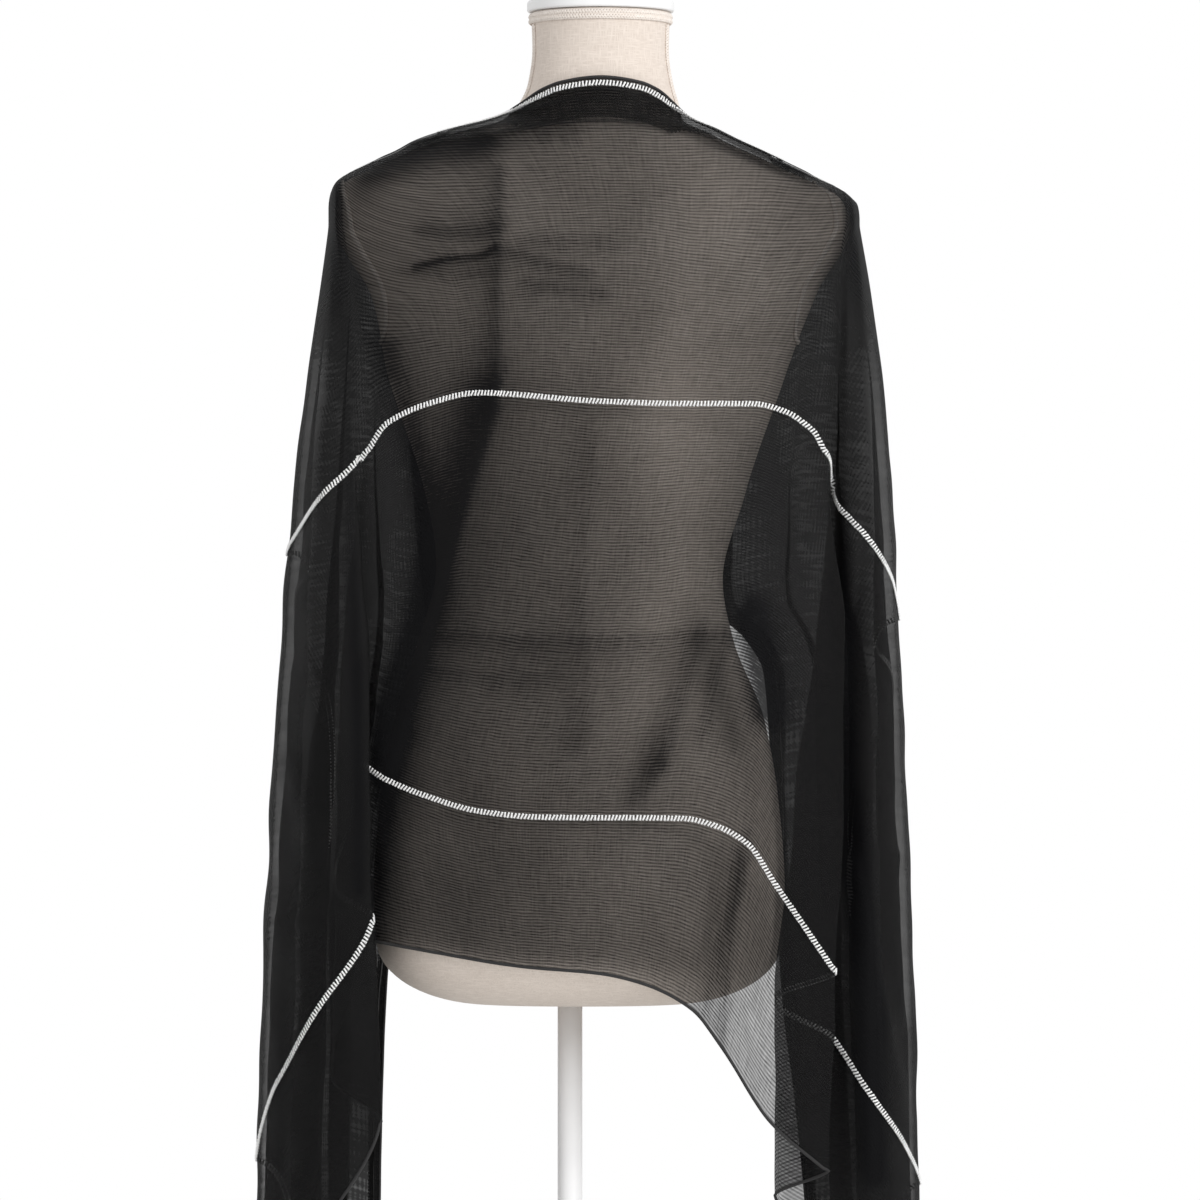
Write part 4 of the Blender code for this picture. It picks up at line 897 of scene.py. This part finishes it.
def addCreases(grid):
    points, place = grid["points"], grid["place"]
    z = points[..., 2]
    # the creases' cover holds painted shade and painted light as well as doubled cloth
    raised, grid["doubledAndShade"] = creaseMarks(grid)
    waves = slowWaves(grid["across"], grid["along"]) + 1.2
    raised += gathers["waveHeight"] * waves * smooth(z, *gathers["wavesFrom"])
    folded, front = [
        share * (smooth(-place, *left) + smooth(place, *right))
        for share, left, right in zip(gathers["shares"], gathers["left"], gathers["right"])
    ]
    grid["gathered"] = (folded + front) * (0.5 + 0.5 * smooth(z, *gathers["hangsFrom"]))
    grid["ribs"] = ribPlaces(grid)
    grid["points"] = points + gridNormals(points) * raised[..., None]
    grid["normals"] = gridNormals(grid["points"])


grid = clothGrid()
addCreases(grid)
rowCount, columnCount = grid["points"].shape[:2]
allRows = np.arange(rowCount)
print("cloth grid:", (rowCount, columnCount))

crepe = {
    # base colour: dark is also the painted shade of the creases, light the painted highlight on the
    # ribs
    "dark": (0.0025, 0.0025, 0.003),
    "light": (0.0145, 0.0142, 0.0138),
    "cover": 0.69,              # how much one layer hides
    "gatheredCover": 0.28,      # how much more it hides where it hangs in close folds
    "leastCover": 0.12,
    "mostCover": 0.97,
    "ribPitch": 0.0025,
    "ribWander": 0.30,          # how far a rib strays, in ribs
    "ribContrast": 0.19,
    "weavePitch": 0.0024,
    "weaveContrast": 0.05,
    "patchContrast": 0.07,
    "ribHeight": 0.0003,
    "strayNoise": (18, 60, 1),  # noises for each metre, along the cloth and across it
    "brokenNoise": (60, 420, 1),
    "patchNoise": (9, 14, 1),
    "shader": {
        "Roughness": 0.6, "Sheen Weight": 0.014, "Sheen Roughness": 0.4,
        "Specular IOR Level": 0.07,
    },
}


def crepeMaterial():
    made = Finish("sheerBlackCrepe", crepe["shader"], "clothPlaces")
    gathered, doubledAndShade = [
        made.node("ShaderNodeAttribute", attribute_name=name).outputs["Fac"]
        for name in ("gathered", "doubledAndShade")
    ]
    across = made.node("ShaderNodeSeparateXYZ", {"Vector": made.where}).outputs["Y"]
    stray = made.noise(crepe["strayNoise"], 2)
    broken = made.noise(crepe["brokenNoise"], 2)
    weave = made.noise((0.8 / crepe["weavePitch"], 45, 1), 1)
    patches = made.noise(crepe["patchNoise"], 3)
    turns = made.maths("MULTIPLY", across, 1 / crepe["ribPitch"])
    turns = made.shaken(turns, stray, 4 * crepe["ribWander"])
    wave = made.maths("SINE", made.maths("MULTIPLY", turns, 2 * math.pi))
    strength = made.ramp(broken, 0.25, 1.15, 0.32, 0.66)
    loose = made.ramp(gathered, 1.0, 0.15, 0.0, 0.5)
    ribs = made.maths("MULTIPLY", made.maths("MULTIPLY", wave, strength), loose)
    cover = made.maths("MULTIPLY_ADD", ribs, -crepe["ribContrast"], crepe["cover"])
    cover = made.shaken(cover, weave, 4 * crepe["weaveContrast"])
    cover = made.shaken(cover, patches, 2 * crepe["patchContrast"])
    cover = made.maths("MULTIPLY_ADD", gathered, crepe["gatheredCover"], cover)
    # the creases' cover, painted shade and painted light among it, makes the cloth hide more or
    # less
    cover = made.maths("ADD", cover, doubledAndShade)
    limits = {"Value": cover, "Min": crepe["leastCover"], "Max": crepe["mostCover"]}
    made.feed("Alpha", made.node("ShaderNodeClamp", limits).outputs[0])
    # base colour: lighter on the ribs, a painted highlight where the threads catch light, and dark
    # where the creases' cover is high, painted shade
    onRibs = made.ramp(ribs, 0.0, 1.0, -0.6, 0.8)
    shade = made.maths("MULTIPLY", onRibs, made.ramp(doubledAndShade, 1.0, 0.0, 0.04, 0.26))
    made.tint(shade, crepe["dark"], crepe["light"])
    made.bump(ribs, 0.5, crepe["ribHeight"])
    return made.material


crepeCloth = crepeMaterial()


def clothPiece(name, points, along, across, gathered, doubledAndShade):
    # a sheet of crepe, with each point's place on the cloth, how closely the cloth hangs in
    # folds there, and how much more a crease hides, which holds painted shade and painted light too
    piece = newPiece(name, points, gridFaces(*points.shape[:2]), crepeCloth)
    layer = piece.data.uv_layers.new(name="clothPlaces")
    loops = np.zeros(len(piece.data.loops), int)
    piece.data.loops.foreach_get("vertex_index", loops)
    places = np.stack([along.ravel()[loops], across.ravel()[loops]], -1)
    layer.data.foreach_set("uv", places.ravel())
    for mark, values in (("gathered", gathered), ("doubledAndShade", doubledAndShade)):
        marks = piece.data.attributes.new(mark, "FLOAT", "POINT")
        marks.data.foreach_set("value", np.ravel(values))
    return piece


shawlCloth = clothPiece(
    "shawlCloth", grid["points"], grid["along"], grid["ribs"], grid["gathered"], grid["doubledAndShade"]
)
print("shawl cloth:", len(shawlCloth.data.polygons), "faces")


def sampled(values, row, column):
    # values of the grid between its rows and columns
    row = np.clip(row, 0, values.shape[0] - 1.001)
    column = np.clip(column, 0, values.shape[1] - 1.001)
    i, j = row.astype(int), column.astype(int)
    u, w = row - i, column - j
    if values.ndim > 2:
        u, w = u[..., None], w[..., None]
    return (
        values[i, j] * (1 - u) * (1 - w) + values[i + 1, j] * u * (1 - w)
        + values[i, j + 1] * (1 - u) * w + values[i + 1, j + 1] * u * w
    )


def gridPoints(row, column, lift=0.0):
    normals = unit(sampled(grid["normals"], row, column))
    return sampled(grid["points"], row, column) + normals * lift, normals


def walked(points, axis):
    steps = np.linalg.norm(np.diff(points, axis=axis), axis=-1)
    start = np.zeros_like(np.take(steps, [0], axis=axis))
    return np.concatenate([start, np.cumsum(steps, axis=axis)], axis=axis)


def edgeStrip(distances):
    # grid places at each distance from the neck edge, all along it: up the left front, round
    # the back of the neck and down the right front
    points, (first, last) = grid["points"], grid["seams"]
    downWalk = walked(points, 0)
    leftWalk = walked(points, 1)[:, :first]
    rightWalk = walked(points[:, ::-1], 1)[:, : columnCount - 1 - last]
    turn = np.linspace(0, math.pi / 2, 9)[1:-1]
    steps = 160
    left, right = shawl["leftCrossing"], shawl["rightCrossing"]
    rows, columns = [], []
    for gap in distances:
        inLeft, inRight = [
            np.array([np.interp(gap, walk, np.arange(len(walk))) for walk in walks])
            for walks in (leftWalk, rightWalk)
        ]
        x = np.concatenate([
            left - gap * np.cos(turn), np.linspace(left, right, steps),
            right + gap * np.sin(turn),
        ])
        down = gap * np.concatenate([np.sin(turn), np.ones(steps), np.cos(turn)])
        onBack = np.interp(x, points[0, first : last + 1, 0], np.arange(first, last + 1))
        backRows = [
            np.interp(depth, downWalk[:, min(round(place), last)], allRows)
            for place, depth in zip(onBack, down)
        ]
        rows.append(np.concatenate([allRows[::-1], backRows, allRows]))
        columns.append(np.concatenate([inLeft[::-1], onBack, columnCount - 1 - inRight]))
    return np.array(rows), np.array(columns)


# The turned edge: a second layer under the cloth along its neck edge and both fronts
turnedEdge = {"width": 0.034, "strips": 12, "inside": 0.0009, "ribsFrom": 0.011, "ribsGrow": 0.97}


def turnedPiece():
    distances = np.linspace(0.0, turnedEdge["width"], turnedEdge["strips"])
    places = edgeStrip(distances)
    points = gridPoints(*places, -turnedEdge["inside"])[0]
    ribs = turnedEdge["ribsFrom"] + turnedEdge["ribsGrow"] * distances
    along, gathered = sampled(grid["along"], *places), sampled(grid["gathered"], *places)
    ribs = np.repeat(ribs[:, None], points.shape[1], 1)
    return clothPiece("turnedEdge", points, along, ribs, gathered, 0 * gathered)


turnedCloth = turnedPiece()

# The fold that lies over the shoulders and the back of the neck: its lower edge, as across and
# height. Its upper edge is the shawl's own, except where the neck lace shows.
shoulderFold = {
    "lowerEdge": [
        (-198, 1394), (-153, 1411), (-119, 1424), (-77, 1431), (-43, 1435), (-8, 1441),
        (26, 1443), (72, 1441), (110, 1432), (153, 1415), (196, 1396), (234, 1381),
    ],
    "belowEdge": 0.0095,        # how far below the neck edge it starts in the middle
    "laceShows": (0.046, 0.070),
    "leastWidth": 0.004,
    "lift": 0.0022,
    "ridgeLift": 0.0005,
    "leastLift": 0.0004,
    "rows": 26,
    "cover": -0.40,             # how much more it hides by the neck
    "streaks": 0.15,
    "lowerEdgeCover": 0.16,
    "endCover": 0.25,           # by the upper edge at the ends, and as much less by the lower
    "endsFrom": (0.08, 0.16),
    "fadesOver": 0.030,         # at each end
    "fadeCover": -0.6,
    "ribsFrom": 0.5,            # where on the cloth its ribs are taken from
    "ribsGrow": 0.032,
}


def shoulderFoldPiece():
    first, last = grid["seams"]
    columns = np.arange(first + 2, last - 1)
    topX, topZ = grid["points"][0, columns, 0], grid["points"][0, columns, 2]
    fromNeck = np.abs(topX - shawl["neckMiddle"])
    start = topZ - shoulderFold["belowEdge"] * (1 - smooth(fromNeck, *shoulderFold["laceShows"]))
    lower = curveThrough(shoulderFold["lowerEdge"])(topX)
    t = np.linspace(0, 1, shoulderFold["rows"])[:, None]
    height = start - (start - np.minimum(lower, start - shoulderFold["leastWidth"])) * t
    heights = -grid["points"][..., 2]
    rows = [np.interp(-height[:, k], heights[:, j], allRows) for k, j in enumerate(columns)]
    row = np.stack(rows, 1)
    column = np.repeat(columns[None].astype(float), len(t), 0)
    points, normals = gridPoints(row, column)
    s = sampled(grid["along"], row, column)
    ridges = np.sin(9 * t + 12 * s) + 0.8 * np.sin(19 * t - 26 * s + 1)
    ridges += 0.6 * np.sin(33 * t + 31 * s)
    fromEnd = np.minimum(s - s[:, :1], s[:, -1:] - s)
    fade = 1 - smooth(fromEnd, 0.0, shoulderFold["fadesOver"])
    lift = shoulderFold["lift"] * smooth(t, -0.05, 0.3)
    lift = lift + shoulderFold["ridgeLift"] * ridges * np.sin(np.pi * t)
    lift = shoulderFold["leastLift"] + lift * (1 - fade)
    ends = smooth(np.abs(s - s[0, len(columns) // 2]), *shoulderFold["endsFrom"])
    byNeck = shoulderFold["cover"] + shoulderFold["lowerEdgeCover"] * bell(t - 0.97, 0.07)
    byEnds = shoulderFold["endCover"] * (1 - smooth(t, 0.15, 0.55) - smooth(t, 0.75, 1.0))
    # this cover also darkens the crepe's colour where it is high, painted shade
    doubledAndShade = byNeck * (1 - ends) + byEnds * ends + shoulderFold["streaks"] * ridges
    doubledAndShade += shoulderFold["fadeCover"] * fade
    points = points + normals * lift[..., None]
    ribs = shoulderFold["ribsGrow"] * t + shoulderFold["ribsFrom"] + 0 * s
    return clothPiece("shoulderFold", points, s, ribs, 0 * s, doubledAndShade)


foldOverShoulders = shoulderFoldPiece()

# Rolled hem round the whole cloth
hem = {
    "radius": 0.0013,
    "step": 0.004,
    "dark": (0.006, 0.006, 0.007),
    "light": (0.022, 0.021, 0.021),
}


def hemPiece():
    made = Finish("rolledHem", {"Roughness": 0.7})
    grain = made.noise(700)
    made.tint(grain, hem["dark"], hem["light"])
    made.bump(grain, 0.6, 0.0003)
    rows, columns = edgeStrip([0.0])
    below = (np.full(columnCount, rowCount - 1.0), np.arange(columnCount, dtype=float))
    paths = []
    for places in ((rows[0], columns[0]), below):
        points, normals = gridPoints(*places)
        points, normals = evenSteps(points, hem["step"], normals)[:2]
        paths.append((points, normals, hem["radius"]))
    return tubePiece("rolledHem", paths, made.material, 6)


hemTube = hemPiece()
print("turned edge and hem made")

# Silver lace: slanted strokes side by side, and a thinner thread that runs back between them
lace = {
    "width": 0.0064,
    "pitch": 0.0029,
    "lean": 0.9,                # how far a stroke leans along the lace, in strokes
    "stroke": 0.00078,          # half a stroke's thickness
    "knot": 1.35,               # how much thicker it is at its two ends
    "rise": 0.00025,            # how much higher a stroke's middle lies
    "crossing": 0.00030,        # half the thin thread's thickness
    "lift": 0.0009,
    "bright": (0.93, 0.93, 0.925),
    "shaded": (0.62, 0.61, 0.61),
    "shader": {"Metallic": 0.1, "Roughness": 0.38, "Specular IOR Level": 0.6},
}


def laceMaterial():
    made = Finish("silverThread", lace["shader"])
    grain = made.noise(900, 3)
    made.tint(made.ramp(grain, 0, 1, 0.25, 0.5), lace["shaded"], lace["bright"])
    made.feed("Roughness", made.ramp(made.noise(160, 2), 0.25, 0.55))
    made.bump(grain, 0.5, 0.0002)
    return made.material


silver = laceMaterial()


def lacePiece(name, places, nodes):
    line, normals = gridPoints(*places, lace["lift"])
    line, normals, across = evenSteps(line, lace["pitch"] / 2, normals)
    along = unit(np.gradient(line, axis=0))
    half = lace["width"] / 2 - lace["stroke"] * lace["knot"]
    share = np.linspace(-1, 1, 5)[:, None]
    radius = lace["stroke"] * (1 + (lace["knot"] - 1) * share[:, 0] ** 4)
    paths = []
    for k in range(2, len(line) - 2, 2):
        wander = 0.5 * math.sin(0.35 * k) + 0.35 * math.sin(1.7 * k + 1.0)
        lean = lace["pitch"] * lace["lean"] * (0.45 + 0.55 * wander) / 2
        length = half * (1 + 0.06 * math.sin(2.3 * k))
        stroke = line[k] + (along[k] * lean + across[k] * length) * share
        stroke = stroke + normals[k] * lace["rise"] * (1 - share**2)
        paths.append((stroke, np.repeat(normals[k][None], 5, 0), radius))
    swing = half * np.where(np.arange(len(line)) % 2 == 0, 1.0, -1.0)
    paths.append((line + across * swing[:, None], normals, lace["crossing"]))
    piece = tubePiece(name, paths, silver, 4)
    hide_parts(*nodes)
    return piece


def acrossLine(v, drop=(0, 0, 0)):
    # grid places along the cloth at one distance across it, which may drop on the left end
    reached = np.flatnonzero((grid["across"][-1] > v) & (grid["across"][0] < v))
    place, first = grid["place"][reached], grid["seams"][0]
    at = (
        v + drop[0] * smooth(-reached, -first - 5.0, -first + 1.0)
        + drop[1] * smooth(-place, 0.2, 0.5)
        + drop[2] * smooth(-place, 0.0, 0.11) * smooth(place, -0.27, -0.13)
    )
    rows = [np.interp(at[k], grid["across"][:, j], allRows) for k, j in enumerate(reached)]
    return np.array(rows), reached.astype(float)


def neckLine():
    # grid places along the neck edge, nearer to it at the middle of the back
    rows, columns = edgeStrip([shawl["neckLaceInMiddle"], shawl["neckLaceAt"]])
    back = slice(rowCount, -rowCount)
    x = gridPoints(rows[1, back], columns[1, back])[0][:, 0]
    share = np.ones(rows.shape[1])
    share[back] = smooth(np.abs(x - shawl["neckMiddle"]), *shawl["laceMovesOver"])
    return [(1 - share) * places[0] + share * places[1] for places in (rows, columns)]


neckLace = lacePiece("neckLace", neckLine(), ("neck_trim", "left_front_trim", "right_front_trim"))
upperLace = lacePiece(
    "upperLace", acrossLine(shawl["upperLaceAt"], shawl["leftLaceDrop"]),
    ("upper_trim", "upper_trim_left", "upper_trim_right"),
)
lowerLace = lacePiece(
    "lowerLace", acrossLine(shawl["lowerLaceAt"]),
    ("lower_trim", "lower_trim_left", "lower_trim_right"),
)
print("lace made")

# The dress form's linen cover and its braids
form = {
    "sides": 128,
    "rings": 170,
    "bottom": 0.700,
    "bottomShrink": (0.45, 0.35),   # how much of its width and depth is left underneath
    "top": 1.5415,
    "linen": ((0.60, 0.52, 0.455), (0.79, 0.705, 0.635)),
    "braid": ((0.70, 0.62, 0.56), (0.90, 0.84, 0.78)),
    "braidStrand": 0.0013,
    "braidWidth": 0.0052,
    "braidPitch": 0.0052,
    "neckBraidBelow": 0.0055,
    "neckBraidRows": (0.0018, -0.0022),
    "neckHeights": (1.5300, 1.4600),    # of the side braids, down the neck
    "shoulderHeights": (1.4560, 1.3980),
    "sideBraidAt": 0.955,       # of the form's half width
    "armOpening": (1.262, 1.396),
    "armInward": 0.075,         # how far the arm's opening bows in, of the half width
    "shader": {"Roughness": 0.85, "Sheen Weight": 0.1, "Specular IOR Level": 0.2},
}


def linenMaterial(name, dark, light):
    made = Finish(name, form["shader"])
    threads = made.maths("MAXIMUM", made.noise((110, 110, 900), 3), made.noise((900, 900, 110), 3))
    shade = made.shaken(made.ramp(threads, 0.2, 0.8, 0.4, 0.7), made.noise(14, 3), 0.7)
    made.tint(shade, dark, light)
    made.bump(threads, 0.5, 0.0004)
    return made.material


linen = linenMaterial("linenCover", *form["linen"])
braidLinen = linenMaterial("braidLinen", *form["braid"])


def formRing(z, shrinkX=1.0, shrinkY=1.0):
    angles = np.arange(form["sides"]) * 2 * math.pi / form["sides"]
    power = 2 / formRoundness(z)
    across, deep = np.cos(angles), np.sin(angles)
    x = formMiddle(z) + shrinkX * formHalfWidth(z) * np.sign(across) * np.abs(across) ** power
    y = formMiddleDepth(z) + shrinkY * formHalfDepth(z) * np.sign(deep) * np.abs(deep) ** power
    return np.stack([x, y, np.full_like(x, z)], -1)


def formPiece():
    lowest, highest = formSections[-1][0] / 1000, formSections[0][0] / 1000
    rings = []
    for angle in np.linspace(0, math.pi / 2, 20)[::-1][:-1]:
        shrink = [left + (1 - left) * math.cos(angle) for left in form["bottomShrink"]]
        ring = formRing(lowest, *shrink)
        ring[:, 2] = lowest - (lowest - form["bottom"]) * math.sin(angle)
        rings.append(ring)
    rings += [formRing(z) for z in np.linspace(lowest, highest, form["rings"])]
    return ringPiece("formCover", rings, linen)


def onForm(x, z, side):
    # points on the form's back (side -1) or front (side 1), and the way out of it there
    points = np.stack([x, formMiddleDepth(z) + side * formReach(x, z), z], -1)
    out = points - np.stack([formMiddle(z), formMiddleDepth(z), z], -1)
    out[:, 0] /= formHalfWidth(z) ** 2
    out[:, 1] /= formHalfDepth(z) ** 2
    return points, unit(out)


def braidPaths(line, normals):
    # three strands that weave over and under each other
    line, normals, across = evenSteps(line, form["braidPitch"] / 6, normals)
    t = np.arange(len(line)) / 6
    thick = form["braidStrand"]
    reach = form["braidWidth"] / 2 - thick * 0.6
    paths = []
    for strand in range(3):
        turn = 2 * math.pi * (t / 1.5 + strand / 3)
        place = line + across * (reach * np.sin(turn))[:, None]
        place += normals * (thick * (0.75 + 0.45 * np.cos(2 * turn)))[:, None]
        paths.append((place, normals, thick * 0.72))
    return paths


def neckBraidPiece():
    z = form["top"] - form["neckBraidBelow"]
    angles = np.linspace(0, 2 * math.pi, 181)
    radius = formHalfWidth(z) + 0.0002
    normals = np.stack([np.cos(angles), np.sin(angles), np.zeros(181)], -1)
    line = normals * radius + [formMiddle(z), 0, z]
    paths = []
    for up in form["neckBraidRows"]:
        paths += braidPaths(line + [0, 0, up], normals)
    piece = tubePiece("neckBraid", paths, braidLinen, 5)
    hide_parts("neck_braid")
    return piece


def sideBraidPiece(name, turn):
    # down the side of the neck, along the shoulder and round the arm's opening
    heights = form["neckHeights"], form["shoulderHeights"]
    z = np.concatenate([np.linspace(*heights[0], 20), np.linspace(*heights[1], 30)])
    x = formMiddle(z) + turn * form["sideBraidAt"] * formHalfWidth(z)
    paths = braidPaths(*onForm(x, z, -1))
    low, high = form["armOpening"]
    t = np.linspace(0, math.pi, 60)
    z = (low + high) / 2 + (high - low) / 2 * np.cos(t)
    x = formMiddle(z) + turn * (1 - form["armInward"] * np.sin(t)) * formHalfWidth(z)
    for side in (-1, 1):
        paths += braidPaths(*onForm(x, z, side))
    return tubePiece(name, paths, braidLinen, 5)


formCover = formPiece()
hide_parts("form_torso")
neckBraid = neckBraidPiece()
leftBraid = sideBraidPiece("leftShoulderBraid", -1)
rightBraid = sideBraidPiece("rightShoulderBraid", 1)
print("form made")

# The stand: cap, pole and round base
stand = {
    "poleRadius": 0.0105,
    "baseRadius": 0.190,
    "baseHeight": 0.026,
    "baseSteps": [(0.060, 0.014), (0.040, 0.0155), (0.030, 0.018), (0.025, 0.021)],
    "capHeight": 0.0105,
    "capRadius": 0.0625,
    "clear": 0.0003,            # between the pole and what it joins, and under the cap
    "sides": 96,
    "paint": (0.93, 0.93, 0.935),
    "capWhite": (0.88, 0.88, 0.88),
}


def smoothWhite(name, colour, roughness, grainSize):
    made = Finish(name, {"Roughness": roughness})
    worn = made.noise(9, 4)
    made.tint(made.ramp(worn, 0, 1, 0.35, 0.6), [0.93 * share for share in colour], colour)
    made.feed("Roughness", made.ramp(worn, roughness - 0.06, roughness + 0.10))
    made.bump(made.noise(grainSize, 2), 0.15, 0.0002)
    return made.material


def turnedShape(name, profile, finish, middle=0.0):
    angles = np.arange(stand["sides"]) * 2 * math.pi / stand["sides"]
    rings = [
        np.stack([middle + r * np.cos(angles), r * np.sin(angles), np.full_like(angles, z)], -1)
        for r, z in profile
    ]
    return ringPiece(name, rings, finish)


def roundedCorner(radius, height, size, upper=True):
    # a quarter round at a corner of a profile, from the side to the top or from below to the side
    t = np.linspace(0, math.pi / 2, 6)
    if upper:
        return [(radius - size + size * math.cos(w), height - size + size * math.sin(w)) for w in t]
    return [(radius - size + size * math.sin(w), height + size - size * math.cos(w)) for w in t]


paint = smoothWhite("whitePaint", stand["paint"], 0.32, 420)
capWhite = smoothWhite("whiteCap", stand["capWhite"], 0.45, 600)
capLow = form["top"] + stand["clear"]
capTop = capLow + stand["capHeight"]
neckCap = turnedShape(
    "neckCap",
    [
        *roundedCorner(stand["capRadius"], capLow, 0.002, False),
        *roundedCorner(stand["capRadius"], capTop - 0.0006, 0.003),
        (stand["capRadius"] - 0.0115, capTop),
    ],
    capWhite, formMiddle(1.54),
)
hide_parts("neck_cap")
poleEnds = (stand["baseHeight"] + stand["clear"], form["bottom"] - stand["clear"])
standPole = turnedShape("standPole", [(stand["poleRadius"], z) for z in poleEnds], paint)
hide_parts("pole")
standBase = turnedShape(
    "standBase",
    [
        *roundedCorner(stand["baseRadius"], 0.0, 0.002, False),
        *roundedCorner(stand["baseRadius"], 0.010, 0.004),
        *stand["baseSteps"],
        *roundedCorner(0.0235, stand["baseHeight"], 0.003),
    ],
    paint,
)
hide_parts("base")
print("stand made")

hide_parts("shawl_back", "shawl_left_end", "shawl_right_end")
slots = {
    "black_crepe": (shawlCloth, turnedCloth, foldOverShoulders, hemTube),
    "silver_lace": (neckLace, upperLace, lowerLace),
    "linen": (formCover, neckBraid, leftBraid, rightBraid),
    "white_cap": (neckCap,),
    "white_paint": (standPole, standBase),
}
for slotName, pieces in slots.items():
    for piece in pieces:
        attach(piece, "root")
